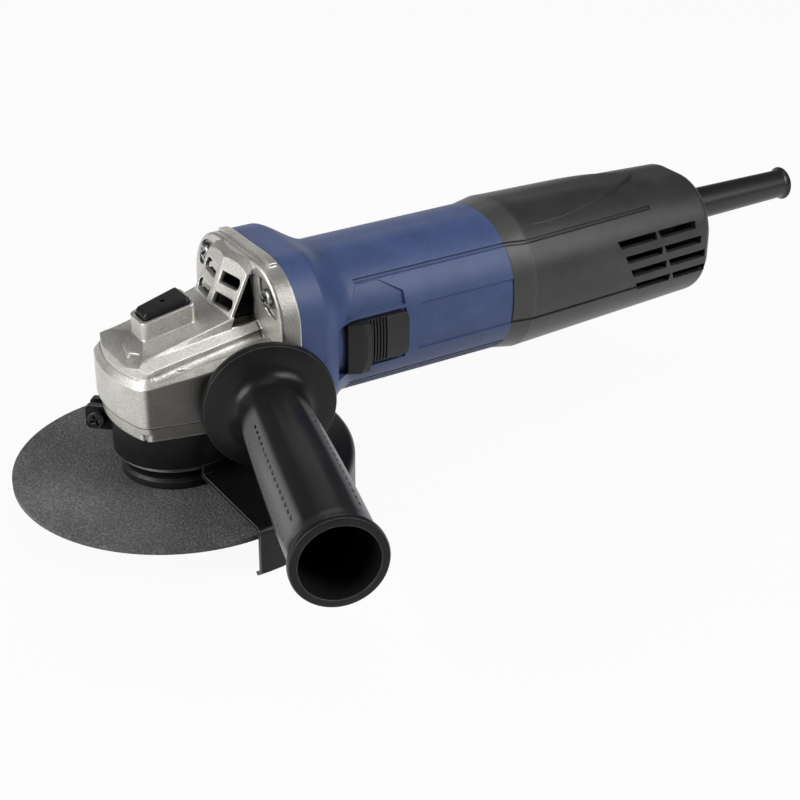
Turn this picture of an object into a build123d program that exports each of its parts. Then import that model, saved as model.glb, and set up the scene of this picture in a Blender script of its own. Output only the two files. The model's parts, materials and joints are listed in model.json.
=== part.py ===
"""A 125 mm angle grinder, in millimetres.

The spindle runs along Z and the motor along X, with the cable sleeve at +X. The origin lies on the
spindle axis, on the outer face of the nut that clamps the disc. Y points to the user's right.
"""

import os
from math import acos, atan, cos, pi, radians, sin, sqrt, tan

from build123d import *

# Disc and what clamps it
DISC_RADIUS = 62.5
DISC_THICKNESS = 2.0
DISC_BORE = 11.1
BORE_RING_WIDTH = 1.6
NUT_RADIUS = 20.0
NUT_HEIGHT = 6.0
NUT_RIM_HEIGHT = 4.0
NUT_STEP = 2.2
NUT_DRAFT = 0.8
SPANNER_HOLE_RADIUS = 2.5
SPANNER_HOLE_CIRCLE = 15.0
SPANNER_HOLE_DEPTH = 4.5
INNER_FLANGE_RADIUS = 20.8
INNER_FLANGE_HEIGHT = 4.0
PILOT_HEIGHT = 1.5

# Spindle
THREAD_RADIUS = 7.0
SPINDLE_END = 1.0
SHOULDER_RADIUS = 9.5
SPINDLE_SEAT_RADIUS = 6.0
WHEEL_SEAT_RADIUS = 5.0
JOURNAL_RADIUS = 4.0
KEY_WIDTH = 3.0
KEY_LENGTH = 4.0
KEY_ANGLE = 45.0
SPINDLE_FLANGE_RADIUS = 8.0

# Bearing cover and its collar
COLLAR_GAP = 4.0
COLLAR_RADIUS = 21.2
COLLAR_LIP_RADIUS = 21.8
COLLAR_LIP_HEIGHT = 1.4
COLLAR_HEIGHT = 16.5
COVER_PLATE = 6.0
COVER_INSET = 1.4
COVER_SCREW_CIRCLE = 25.0
COVER_SCREW_RADIUS = 2.0
SEAL_HEIGHT = 2.0
SEAL_RADIUS = 12.5
COVER_REAR = 22.0
COVER_SCREW_BITE = 10.0
COVER_HEAD_RADIUS = 3.2
COVER_HEAD = 2.2
COVER_HEAD_DEPTH = 2.6
SPINDLE_BEARING_RADIUS = 16.0
SPINDLE_BEARING_WIDTH = 10.0
RETAINER_THICKNESS = 1.2
RETAINER_DEPTH = 1.0

# Bevel gears, drawn on the outer cone
MODULE = 1.1
WHEEL_TEETH = 36
PINION_TEETH = 12
FACE_WIDTH = 5.5
TOOTH_ROOT_OVERLAP = 0.12
GEAR_BACK = 2.5
WHEEL_RIM = 1.6
PINION_HUB_WALL = 1.6
BACKLASH = 0.34
WHEEL_ADDENDUM = 0.38 * MODULE
WHEEL_DEDENDUM = 1.25 * MODULE
PINION_ADDENDUM = 0.95 * MODULE
PINION_DEDENDUM = 0.8 * MODULE
TOOTH_SHIFT = 0.3 * MODULE
WHEEL_WEB = 5.0
LOCK_CIRCLE = 8.4
LOCK_PIN_RADIUS = 1.75
LOCK_HOLE_PLAY = 0.45
LOCK_HOLES = 4
PINION_HUB_END = 23.5
PINION_NUT_RADIUS = 5.0
PINION_NUT = 3.0
PINION_TUNNEL = 9.2

# Gear housing
HEAD_FRONT = 26.0
HEAD_FRONT_BOW = 4.6
HEAD_CORNER_ROUND = 7.0
HEAD_TAPER = 13.0
HEAD_HALF_WIDTH = 27.2
WALL_TOP = 49.8
WALL_SLOPE = 0.165
WALL_CHAMFER = 2.4
DECK_SLOPE = 0.22
DECK_CROWN = 1.6
DECK_EDGE = 58.7
DECK_HALF_WIDTH = 15.5
RAIL_DROP = 1.9
RAIL_FALL = 2.9
RAIL_SLOPE = 0.13
RAIL_INNER = 16.4
RAIL_OUTER = 20.2
COVE_RADIUS = 2.6
COVE_LIFT = 0.9
COVE_BITE = 0.6
COVE_FRONT = 15.0
DECK_FRONT = 22.3
BROW_START = 9.0
BROW_FRONT_HEIGHT = 51.4
BROW_BULGE = 1.2
CHIN = 1.0
GEAR_CHAMBER_RADIUS = 21.6
CHAMBER_ROOF = 2.6
TOWER_FRONT = 17.0
TOWER_SWEEP = 2.3
TOWER_LEAN = 0.45
TOWER_TOP = 83.0
TOWER_FACE_TOP = 80.8
TOWER_TOP_SLOPE = 0.7
TOWER_TOP_RADIUS = 48.0
TOWER_FOOT = 65.0
TOWER_ROOT = 9.0
VENT_FLOOR = 62.6
TOWER_HALF_WIDTH = 15.2
TOWER_WALL = 2.6
SIDE_VENT_RIM = 1.3
SIDE_VENT_LOW = 59.6
SIDE_VENT_HIGH = 78.6
SIDE_VENT_DEPTH = 4.2
WINDOW_WIDTH = 11.9
WINDOW_HEIGHT = 4.3
WINDOW_TOP = 76.4
WINDOW_PITCH = 7.6
WINDOW_ROUND = 1.9
RIDGE_WIDTH = 3.6
FLANGE_FRONT = 28.8
FLANGE_EDGE = 1.3
FLANGE_REAR = 36.6
FLANGE_SIZE = 71.8
FLANGE_ROUND = 22.5
FLANGE_RIB_HALF = 20.5
FLANGE_RIB_HEIGHT = 1.2
FLANGE_RIB_WIDTH = 3.2
FLANGE_RIB_INSET = 1.2
HEAD_SCREW_OFFSET = 25.0
HEAD_SCREW_POCKET = 9.0
HEAD_SCREW_POCKET_WIDTH = 4.6
HEAD_SCREW_RADIUS = 2.2
HEAD_SCREW_SEAT = 30.2
HEAD_SCREW_HEAD = 2.8
HEAD_SCREW_DOME = 2.2
HEAD_SCREW_HEAD_RADIUS = 3.8
HEAD_SCREW_END = 49.0
BUSH_RADIUS = 5.6

# Spindle lock
BUTTON_FRONT = 11.0
BUTTON_REAR = 6.8
BUTTON_FRONT_HALF = 4.4
BUTTON_REAR_HALF = 6.2
BUTTON_ROUND = 1.5
BUTTON_EDGE = 0.9
BUTTON_HOLE_RADIUS = 1.1
BUTTON_HOLE_DEPTH = 2.0
BUTTON_CROWN = 69.4
LOCK_TRAVEL = 3.5
BUTTON_HOLE_X = -1.8
LOCK_PIN_LOW = 8.2
BUTTON_PLAY = 0.4
COLLAR_WALL = 1.8
BUTTON_COLLAR_CROWN = 67.0
LOCK_SPRING_WIRE = 0.6
LOCK_SPRING_RADIUS = 2.4
LOCK_SPRING_TURNS = 3

# Motor housing
AXIS_RISE = 22.9
SEAM = 136.1
BODY_WIDTH = 60.0
BODY_HEIGHT = 58.8
BODY_ROUND = 27.2
BODY_WALL = 2.5
BELL_END = 47.0
NECK_END = 64.5
NECK_EASE = 0.8
NECK_SECTIONS = 6
SCREW_POST = 5.0
SCREW_POST_END = 50.0
SPIGOT_LENGTH = 12.0
SPIGOT_INSET = 3.0
BULKHEAD = 5.0
AIR_SLOTS = 4
AIR_SLOT_SPAN = 50.0
AIR_SLOT_RIM = 3.0
AIR_SLOT_INSET = 1.5
BEARING_WALL = 2.5
CREASE_RISE = 21.6
CREASE_WIDTH = 1.3
CREASE_DEPTH = 0.8
CREASE_FRONT = 66.9
STRIP_DROP = 19.2
STRIP_PITCH = 1.7
STRIP_GROOVES = 3
STRIP_FRONT = 63.0
STRIP_WIDTH = 0.8
STRIP_DEPTH = 0.5
PANEL_FRONT = 90.0
PANEL_RISE = 9.6
PANEL_DROP = 10.0
PANEL_ROUND = 4.0
PANEL_DEPTH = 0.5

# Slide switch
SLIDER_FRONT = 59.0
SLIDER_REAR = 85.5
SLIDER_RISE = 8.8
SLIDER_DROP = 11.4
SLIDER_TRAVEL = 5.0
SLIDER_PROUD = 2.4
SLIDER_ROUND = 2.0
SLIDER_STEP = 2.6
CREST_START = 6.6
CREST_WIDTH = 1.8
CREST_PROUD = 4.6
RAMP_FOOT = 1.0
SLIDER_PLAY = 0.5
SLIDER_LIFT = 0.35
RECESS_DEPTH = 1.0
RECESS_WALL = 1.2
LEG_START = 68.5
SLIDER_RIBS = 6
SLIDER_RIB_PITCH = 1.35
SLIDER_RIB_WIDTH = 0.7
SLIDER_RIB_DEPTH = 0.9
SLOT_HALF_HEIGHT = 3.5
SCOOP_DEPTH = 1.1
SCOOP_FRONT = 58.2
SCOOP_REAR = 86.0
SCOOP_LOW = 10.4
SCOOP_HIGH = 20.6
SCOOP_LEAN = 9.0
LEG_LENGTH = 10.0
ROD_THICKNESS = 1.5
ROD_HALF_HEIGHT = 3.0
ROD_END = 164.0
ROD_PLAY = 0.6
SWITCH_LENGTH = 24.0
SWITCH_DEPTH = 30.0
SWITCH_HEIGHT = 18.0
SWITCH_EDGE = 1.5
SWITCH_START = 152.5
SWITCH_GAP = 0.4
SHELF = 2.0
CAPACITOR_RADIUS = 5.5
CAPACITOR_LENGTH = 16.0

# Motor
SHAFT_FRONT_RADIUS = 3.0
SHAFT_BEARING_RADIUS = 5.0
SHAFT_CORE_RADIUS = 5.5
SHAFT_REAR_RADIUS = 3.5
FRONT_BEARING_RADIUS = 13.0
FRONT_BEARING_WIDTH = 8.0
FRONT_BEARING_START = 26.0
REAR_BEARING_RADIUS = 9.5
REAR_BEARING_WIDTH = 6.0
BOOT_WALL = 1.5
FAN_START = 39.0
FAN_LENGTH = 10.0
FAN_RADIUS = 28.0
FAN_HUB_RADIUS = 9.0
FAN_BLADES = 14
FAN_BLADE = 1.4
FAN_DISC = 2.0
BAFFLE_PLAY = 0.2
BAFFLE_THICKNESS = 2.0
BAFFLE_BORE = 20.0
STATOR_START = 62.0
STATOR_LENGTH = 46.0
STATOR_HALF_WIDTH = 24.2
STATOR_YOKE = 4.0
AIR_GAP = 0.5
CORE_RADIUS = 17.2
COIL_OVERHANG = 7.0
COIL_SPAN = 84.0
COIL_PLAY = 1.5
POLE_SPAN = 54.0
ROTOR_SLOTS = 12
ROTOR_SLOT = 2.4
ROTOR_SLOT_DEPTH = 6.0
WINDING_RADIUS = 14.0
WINDING_LENGTH = 6.5
COMMUTATOR_START = 117.0
COMMUTATOR_LENGTH = 13.0
COMMUTATOR_RADIUS = 11.0
COMMUTATOR_BARS = 24
COMMUTATOR_SLIT = 0.5
BRUSH_WIDTH = 5.0
BRUSH_BREADTH = 8.0
BRUSH_LENGTH = 9.0
HOLDER_WALL = 1.0
HOLDER_GAP = 1.5
BRUSH_PLAY = 0.1
BRUSH_SPRING_WIRE = 0.5
BRUSH_SPRING_RADIUS = 1.6
BRUSH_SPRING_TURNS = 5
BRUSH_GAP = 0.3
STATOR_SCREW_RADIUS = 1.5
STATOR_SCREW_INSET = 2.2
STATOR_POST = 8.0
STATOR_POST_RADIUS = 2.6

# Rear cover
COVER_END = 241.0
COVER_FLARE = 9.0
COVER_FLARE_SIZE = 1.6
COVER_END_WIDTH = 54.0
COVER_END_HEIGHT = 52.6
COVER_END_ROUND = 22.0
COVER_WALL = 2.4
COVER_END_FILLET = 3.6
COVER_SPLIT = 0.06
TONGUE_PROUD = 1.3
TONGUE_FRONT = 150.0
TONGUE_FRONT_HALF = 18.6
TONGUE_MIDDLE = 190.0
TONGUE_MIDDLE_HALF = 12.8
TONGUE_TIP = 217.0
VENT_FRONT = 190.0
VENT_LENGTH = 20.0
VENT_RIB = 1.8
VENT_HEIGHT = 3.4
VENT_PITCH = 6.8
VENT_RISE = 11.4
VENT_ROWS = 4
VENT_RAKE = 3.4
VENT_REAR_RAKE = 2.9
SCREW_BOSS_RADIUS = 3.6
SCREW_RADIUS = 1.6
SCREW_HEAD_RADIUS = 3.0
SCREW_HEAD_HEIGHT = 2.2
CLAMP_X = 183.0
CLAMP_WIDTH = 7.0
CLAMP_THICKNESS = 2.6
CLAMP_REACH = 9.0
CLAMP_END = 3.6
GROOVE_DROP = 9.2
GROOVE_END = 200.0
CREASE_END = 211.0
SCREW_DROP = 18.0
REAR_SCREW_INSET = 20.0
TOP_SCREW_INSET = 38.0
SCREW_SEAT = 14.0
SCREW_BITE = 10.0
CLAMP_BITE = 6.0

# Cable sleeve
SLEEVE_RISE = 7.3
SLEEVE_BASE_RADIUS = 7.2
SLEEVE_TIP_RADIUS = 6.2
SLEEVE_LIP_RADIUS = 7.3
SLEEVE_END = 305.0
SLEEVE_LIP = 3.4
SLEEVE_EDGE = 0.7
SLEEVE_BORE = 4.0
SLEEVE_COLLAR_RADIUS = 10.0
SLEEVE_COLLAR = 3.0
SLEEVE_GROOVE_PLAY = 0.15

# Side handle
HANDLE_TILT = 16.4
HANDLE_X = 21.3
HANDLE_REACH = 37.3
HANDLE_RISE = 37.3
HANDLE_LENGTH = 110.7
GUARD_RING_RADIUS = 25.0
GUARD_RING = 4.6
GUARD_RING_SWEEP = 6.5
GUARD_RING_DISH = 1.2
NECK_RADIUS = 13.0
GRIP_RADIUS = 14.6
GRIP_END_RADIUS = 15.2
LIP_RADIUS = 16.7
LIP_LENGTH = 5.0
HANDLE_BORE = 13.4
HANDLE_BORE_DEPTH = 70.0
HANDLE_BORE_DRAFT = 1.6
BOSS_RADIUS = 11.0
BOSS_LENGTH = 18.0
STUD_RADIUS = 4.0
SOCKET_TAP_RADIUS = 3.4
SOCKET_DEPTH = 14.0
STUD_GRIP = 16.0
STUD_HEAD_RADIUS = 7.0
STUD_HEAD = 6.0

# Guard
GUARD_RADIUS = 69.0
GUARD_SHEET = 1.5
GUARD_SKIRT = 21.0
GUARD_ROUND = 3.0
GUARD_LIP = 3.0
GUARD_SPAN = 180.0
GUARD_CLEARANCE = 0.6
BAND_SHEET = 2.0
BAND_HEIGHT = 14.0
BAND_PLAY = 0.35
BAND_SPLIT = 4.0
LUG_REACH = 10.4
LUG_HEIGHT = 10.0
LUG_ROUND = 2.0
LUG_SHEET = 2.2
CLAMP_ANGLE = 138.0
CLAMP_SCREW_RADIUS = 2.0
CLAMP_HEAD_RADIUS = 3.6
CLAMP_HEAD = 2.8
CLAMP_NUT = 3.2
CLAMP_NUT_RADIUS = 3.9

# Fits
FIT = 0.03
RUNNING = 0.06
BALL_PLAY = 0.05
BALL_SHARE = 0.3
BALL_SPACING = 2.5
SCREW_PLAY = 0.25

# Levels along the spindle
DISC_BOTTOM = NUT_HEIGHT
DISC_TOP = DISC_BOTTOM + DISC_THICKNESS
FLANGE_TOP = DISC_TOP + INNER_FLANGE_HEIGHT
COLLAR_BOTTOM = FLANGE_TOP + COLLAR_GAP
PLATE_BOTTOM = COLLAR_BOTTOM + COLLAR_HEIGHT
HEAD_BOTTOM = PLATE_BOTTOM + COVER_PLATE
AXIS_Z = PLATE_BOTTOM + AXIS_RISE
BEARING_BOTTOM = COLLAR_BOTTOM + SEAL_HEIGHT + 0.5
BEARING_TOP = BEARING_BOTTOM + SPINDLE_BEARING_WIDTH
WHEEL_BASE = AXIS_Z - MODULE * PINION_TEETH / 2 - WHEEL_WEB - MODULE
CHAMBER_TOP = AXIS_Z + CHAMBER_ROOF
BUSH_TOP = CHAMBER_TOP + 6.5
POCKET_FLOOR = BUSH_TOP + 1.5
BUTTON_LIFT = LOCK_TRAVEL + 0.7
SLEEVE_Z = AXIS_Z + SLEEVE_RISE
BARREL_HALF = BODY_HEIGHT / 2 - BODY_WALL
LAYER = 0.5
AIR_TAN = tan(radians(AIR_SLOT_SPAN / 2))
STATOR_RADIUS = BARREL_HALF - FIT
ROD_FACE = BODY_WIDTH / 2 - BODY_WALL - ROD_PLAY
BAFFLE_START = SCREW_POST_END
REAR_BEARING_START = SEAM - REAR_BEARING_WIDTH / 2
COVER_REAR_FACE = COVER_END - COVER_WALL
SHELF_TOP = AXIS_Z - SWITCH_HEIGHT / 2


# Shapes that many pieces share
def turned(*corners):
    """A solid of revolution about Z, from its (radius, height) corners."""
    outline = Polyline(*[(r, 0, z) for r, z in corners], close=True)
    return revolve(make_face(outline), Axis.Z)


def ring(outer, inner, low, high):
    """A plain ring about Z between two heights."""
    return turned((inner, low), (outer, low), (outer, high), (inner, high))


def block(x, y, z):
    """A box between the low and high ends given for each axis."""
    size = [b - a for a, b in (x, y, z)]
    middle = [(a + b) / 2 for a, b in (x, y, z)]
    return Pos(*middle) * Box(*size)


def on_motor(shape):
    """Turns a shape from the Z axis onto the motor axis, its height becoming X."""
    return Pos(0, 0, AXIS_Z) * Rot(0, 90, 0) * shape


def rod_y(radius, x, z, start, end):
    """A round bar along Y."""
    return Pos(x, (start + end) / 2, z) * Rot(90, 0, 0) * Cylinder(radius, abs(end - start))


def rod_x(radius, y, z, start, end):
    """A round bar along X."""
    return Pos((start + end) / 2, y, z) * Rot(0, 90, 0) * Cylinder(radius, abs(end - start))


def station(x, rise=0.0):
    """The plane across the motor axis at x, with its own x along Y and its y along Z."""
    return Plane(origin=(x, 0, AXIS_Z + rise), x_dir=(0, 1, 0), z_dir=(1, 0, 0))


def section(x, width, height, corner, rise=0.0):
    """A rounded rectangle across the motor axis."""
    return station(x, rise) * RectangleRounded(width, height, corner)


def wound(wire, radius, height, turns):
    """A helical spring that stands on Z = 0."""
    path = Helix(height / turns, height, radius)
    return sweep(Plane(path @ 0, z_dir=path % 0) * Circle(wire / 2), path=path, is_frenet=True)


def both_sides(shape):
    """A shape and its mirror image across the mid-plane."""
    return shape + mirror(shape, Plane.XZ)


def ball_bearing(outer, inner, width):
    """The outer race, inner race and balls of a bearing that stands on Z = 0."""
    middle = (outer + inner) / 2
    ball = BALL_SHARE * (outer - inner)
    track = Pos(0, 0, width / 2) * Torus(middle, ball + BALL_PLAY)
    outer_race = ring(outer, middle + ball / 2, 0, width) - track
    inner_race = ring(middle - ball / 2, inner, 0, width) - track
    count = int(2 * pi * middle / (BALL_SPACING * ball))
    seats = [Rot(0, 0, 360 * i / count) * Pos(middle, 0, width / 2) for i in range(count)]
    return outer_race, inner_race, Compound([seat * Sphere(ball) for seat in seats])


# Bevel gears, whose cones meet where the two axes cross
CONE = MODULE * sqrt(WHEEL_TEETH**2 + PINION_TEETH**2) / 2
PINION_CONE = atan(PINION_TEETH / WHEEL_TEETH)
WHEEL_CONE = pi / 2 - PINION_CONE
PRESSURE = radians(20)


def involute(angle):
    return tan(angle) - angle


def tooth_half_angle(radius, pitch_radius, thickness):
    """Half the angle that a tooth takes at a radius of the flattened back cone."""
    base = pitch_radius * cos(PRESSURE)
    slope = acos(base / radius) if radius > base else 0.0
    return thickness / (2 * pitch_radius) + involute(PRESSURE) - involute(slope)


def tooth_face(cone, distance, addendum, dedendum, thickness):
    """One tooth's section, square to the pitch line at a distance from the apex."""
    scale = distance / CONE
    pitch_radius = distance * tan(cone)
    heights = [-dedendum, -dedendum / 2, 0, addendum / 2, addendum]
    flank = []
    for height in heights:
        radius = pitch_radius + height * scale
        half = tooth_half_angle(radius, pitch_radius, thickness * scale)
        flank.append((radius * cos(half) - pitch_radius, radius * sin(half)))
    outline = flank + [(u, -v) for u, v in reversed(flank)]
    middle = Vector(sin(cone), 0, cos(cone)) * distance
    across = Vector(cos(cone), 0, -sin(cone))
    points = [middle + across * u + Vector(0, v, 0) for u, v in outline]
    return make_face(Polyline(*points, close=True))


def bevel_gear(teeth, cone, addendum, dedendum, thickness, first):
    """Teeth on a cone about Z whose apex is the origin, opening towards +Z."""
    inner = CONE - FACE_WIDTH
    ends = [tooth_face(cone, d, addendum, dedendum, thickness) for d in (inner, CONE)]
    tooth = loft(ends, ruled=True)
    root = cone - atan((dedendum - TOOTH_ROOT_OVERLAP) / CONE)
    far, near = CONE, inner
    blank = turned(
        (near * sin(root), near * cos(root)),
        (far * sin(root), far * cos(root)),
        (far * sin(root) - GEAR_BACK * cos(cone), far * cos(root) + GEAR_BACK * sin(cone)),
        (near * sin(root) - GEAR_BACK * cos(cone), near * cos(root) + GEAR_BACK * sin(cone)),
    )
    return blank, [Rot(0, 0, first + 360 * i / teeth) * tooth for i in range(teeth)]


def make_bevel_wheel():
    thickness = pi * MODULE / 2 - TOOTH_SHIFT - BACKLASH
    blank, teeth = bevel_gear(
        WHEEL_TEETH, WHEEL_CONE, WHEEL_ADDENDUM, WHEEL_DEDENDUM, thickness, 180 / WHEEL_TEETH
    )
    gear = blank + teeth
    gear = Pos(0, 0, AXIS_Z) * mirror(gear, Plane.XY)
    low = CONE * cos(WHEEL_CONE) + WHEEL_WEB + MODULE
    outer = CONE * sin(WHEEL_CONE) - WHEEL_RIM
    web = ring(outer, WHEEL_SEAT_RADIUS + FIT, AXIS_Z - low, AXIS_Z - low + WHEEL_WEB - 1)
    gear = gear + web
    hole = Cylinder(LOCK_PIN_RADIUS + LOCK_HOLE_PLAY, 3 * WHEEL_WEB)
    for spot in PolarLocations(LOCK_CIRCLE, LOCK_HOLES):
        gear -= Pos(0, 0, AXIS_Z - low) * spot * hole
    return gear - Rot(0, 0, KEY_ANGLE) * key_shape(FIT)


def make_pinion():
    thickness = pi * MODULE / 2 + TOOTH_SHIFT - BACKLASH
    blank, teeth = bevel_gear(
        PINION_TEETH, PINION_CONE, PINION_ADDENDUM, PINION_DEDENDUM, thickness, 0
    )
    front = (CONE - FACE_WIDTH) * cos(PINION_CONE)
    hub = ring(SHAFT_FRONT_RADIUS + PINION_HUB_WALL, SHAFT_FRONT_RADIUS, front, PINION_HUB_END)
    gear = blank + teeth + hub
    return on_motor(gear - ring(SHAFT_FRONT_RADIUS + FIT, 0, 0, FLANGE_REAR))


def make_pinion_nut():
    front = (CONE - FACE_WIDTH) * cos(PINION_CONE)
    nut = extrude(RegularPolygon(PINION_NUT_RADIUS, 6), PINION_NUT)
    bore = ring(SHAFT_FRONT_RADIUS + FIT, 0, -1, PINION_NUT + 1)
    return on_motor(Pos(0, 0, front - PINION_NUT - FIT) * (nut - bore))


# Disc, flanges and spindle
def make_cutting_disc():
    return ring(DISC_RADIUS, DISC_BORE + BORE_RING_WIDTH, DISC_BOTTOM, DISC_TOP)


def make_disc_bore_ring():
    return ring(DISC_BORE + BORE_RING_WIDTH, DISC_BORE, DISC_BOTTOM, DISC_TOP)


def make_flange_nut():
    rim = NUT_RADIUS - 1
    nut = turned(
        (THREAD_RADIUS + FIT, 0),
        (rim - NUT_STEP - NUT_DRAFT, 0),
        (rim - NUT_STEP, NUT_HEIGHT - NUT_RIM_HEIGHT),
        (rim, NUT_HEIGHT - NUT_RIM_HEIGHT),
        (NUT_RADIUS, NUT_HEIGHT - NUT_RIM_HEIGHT + 1),
        (NUT_RADIUS, NUT_HEIGHT),
        (THREAD_RADIUS + FIT, NUT_HEIGHT),
    )
    holes = PolarLocations(SPANNER_HOLE_CIRCLE, 4)
    return nut - [spot * Cylinder(SPANNER_HOLE_RADIUS, 2 * SPANNER_HOLE_DEPTH) for spot in holes]


def make_inner_flange():
    bore = SPINDLE_FLANGE_RADIUS + FIT
    return turned(
        (bore, DISC_TOP - PILOT_HEIGHT),
        (DISC_BORE - FIT, DISC_TOP - PILOT_HEIGHT),
        (DISC_BORE - FIT, DISC_TOP),
        (INNER_FLANGE_RADIUS, DISC_TOP),
        (INNER_FLANGE_RADIUS, FLANGE_TOP - 1),
        (INNER_FLANGE_RADIUS - 1, FLANGE_TOP),
        (bore, FLANGE_TOP),
    )


def make_spindle():
    spindle = turned(
        (0, SPINDLE_END),
        (THREAD_RADIUS - 1, SPINDLE_END),
        (THREAD_RADIUS, SPINDLE_END + 1),
        (THREAD_RADIUS, DISC_TOP - PILOT_HEIGHT),
        (SPINDLE_FLANGE_RADIUS, DISC_TOP - PILOT_HEIGHT),
        (SPINDLE_FLANGE_RADIUS, FLANGE_TOP),
        (SHOULDER_RADIUS, FLANGE_TOP),
        (SHOULDER_RADIUS, BEARING_BOTTOM),
        (SPINDLE_SEAT_RADIUS, BEARING_BOTTOM),
        (SPINDLE_SEAT_RADIUS, WHEEL_BASE),
        (WHEEL_SEAT_RADIUS, WHEEL_BASE),
        (WHEEL_SEAT_RADIUS, CHAMBER_TOP - LAYER),
        (JOURNAL_RADIUS, CHAMBER_TOP - LAYER),
        (JOURNAL_RADIUS, BUSH_TOP - LAYER),
        (0, BUSH_TOP - LAYER),
    )
    return spindle - Rot(0, 0, KEY_ANGLE) * key_shape(FIT)


def key_shape(play):
    """The drive key between spindle and wheel, grown by a clearance."""
    half = KEY_WIDTH / 2 + play
    radius = WHEEL_SEAT_RADIUS
    return block(
        (radius - KEY_WIDTH / 2 - play, radius + KEY_WIDTH / 2 + play),
        (-half, half),
        (WHEEL_BASE - play, WHEEL_BASE + KEY_LENGTH + play),
    )


def make_spindle_spacer():
    return ring(SPINDLE_SEAT_RADIUS + 2, SPINDLE_SEAT_RADIUS + FIT, BEARING_TOP, WHEEL_BASE)


def make_dust_seal():
    return ring(
        SEAL_RADIUS, SHOULDER_RADIUS + RUNNING, COLLAR_BOTTOM, COLLAR_BOTTOM + SEAL_HEIGHT
    )


def make_retaining_ring():
    seat = SPINDLE_BEARING_RADIUS
    circlip = ring(seat + RETAINER_DEPTH, seat - 2, BEARING_TOP, BEARING_TOP + RETAINER_THICKNESS)
    return circlip - block((0, 2 * seat), (-3, 3), (BEARING_TOP - 1, BEARING_TOP + 3))


# Gear housing and bearing cover
def head_half(x):
    """Half the width of the gear housing at x."""
    return HEAD_HALF_WIDTH + x * tan(radians(HEAD_TAPER))


def head_plan(rear, inset=0.0):
    """The gear housing's outline from above: rounded front, sides that widen to the rear."""
    front = -HEAD_FRONT + inset
    corner = front + HEAD_FRONT_BOW
    sides = [(x, head_half(x) - inset) for x in (corner, rear)]
    outline = Polyline((rear, -sides[1][1]), (corner, -sides[0][1]))
    outline += ThreePointArc((corner, -sides[0][1]), (front, 0), (corner, sides[0][1]))
    outline += Polyline((corner, sides[0][1]), (rear, sides[1][1]), (rear, -sides[1][1]))
    face = make_face(outline)
    return fillet(face.vertices().sort_by(Axis.X)[:2], HEAD_CORNER_ROUND - inset)


def above(z0, slope):
    """The space above a plane that climbs along X."""
    far = 4 * HEAD_FRONT
    outline = Polyline(
        (-far, 0, z0 - slope * far),
        (far, 0, z0 + slope * far),
        (far, 0, z0 + 4 * far),
        (-far, 0, z0 + 4 * far),
        close=True,
    )
    return extrude(make_face(outline), far, dir=(0, 1, 0), both=True)


def head_base():
    """The tapered block under the deck, with its sloping shoulder chamfer."""
    height = DISC_TOP + WALL_TOP + WALL_CHAMFER
    plan = head_plan(FLANGE_FRONT + 1)
    wall = Pos(0, 0, HEAD_BOTTOM) * extrude(plan, AXIS_Z) - above(height, WALL_SLOPE)
    top = wall.faces().sort_by(Axis.Z)[-1]
    front_edges = [e for e in top.edges() if e.center().X < FLANGE_FRONT]
    return chamfer(front_edges, WALL_CHAMFER)


def deck_section(x):
    """The deck's section at x: a crowned top, then a groove, a rail and the rail's side."""
    edge = DECK_EDGE + DECK_SLOPE * x
    rail = DECK_EDGE - RAIL_DROP + RAIL_SLOPE * x
    foot = WALL_TOP - WALL_CHAMFER + WALL_SLOPE * x
    right = [
        (DECK_HALF_WIDTH, edge),
        (RAIL_INNER, rail),
        (RAIL_OUTER, rail - RAIL_FALL),
        (RAIL_OUTER, foot),
    ]
    left = [(-y, z) for y, z in reversed(right)]
    sides = [(x, y, DISC_TOP + z) for y, z in right + left]
    outline = ThreePointArc(sides[-1], (x, 0, DISC_TOP + edge + DECK_CROWN), sides[0])
    return make_face(outline + Polyline(*sides))


def rail_cove(side):
    """The round hollow between a rail and the shoulder below it."""
    climb = Vector(1, 0, WALL_SLOPE)
    y = side * (RAIL_OUTER + COVE_RADIUS - COVE_BITE)
    shoulder = DISC_TOP + WALL_TOP + WALL_CHAMFER + COVE_LIFT
    start = Vector(0, y, shoulder) - climb * COVE_FRONT
    length = (COVE_FRONT + FLANGE_FRONT) * climb.length
    bar = extrude(Plane(origin=start, z_dir=climb) * Circle(COVE_RADIUS), length)
    return bar + Pos(start) * Sphere(COVE_RADIUS)


def brow_cut():
    """What is cut away in front of the deck, leaving a rounded brow and a bevel below it."""
    start = (-BROW_START, DECK_EDGE + DECK_CROWN - DECK_SLOPE * BROW_START)
    front = (-DECK_FRONT, BROW_FRONT_HEIGHT)
    middle = [(a + b) / 2 for a, b in zip(start, front)]
    bulge = (middle[0], middle[1] + BROW_BULGE)
    chin = WALL_TOP - WALL_SLOPE * HEAD_FRONT + CHIN
    far = 2 * HEAD_FRONT
    ahead = [(CHIN - HEAD_FRONT, chin), (-far, chin), (-far, TOWER_TOP), (-BROW_START, TOWER_TOP)]
    at = [(x, 0, DISC_TOP + z) for x, z in [start, bulge, front] + ahead + [start]]
    outline = ThreePointArc(at[0], at[1], at[2]) + Polyline(*at[2:])
    return extrude(make_face(outline), HEAD_FRONT + HEAD_HALF_WIDTH, dir=(0, 1, 0), both=True)


def head_deck():
    """The crowned deck and its two side rails, climbing to the rear."""
    deck = loft([deck_section(-HEAD_FRONT), deck_section(FLANGE_FRONT + 1)], ruled=True)
    trim = extrude(head_plan(FLANGE_FRONT + 1, WALL_CHAMFER), 2 * TOWER_TOP)
    return (deck & trim) - brow_cut()


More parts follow.
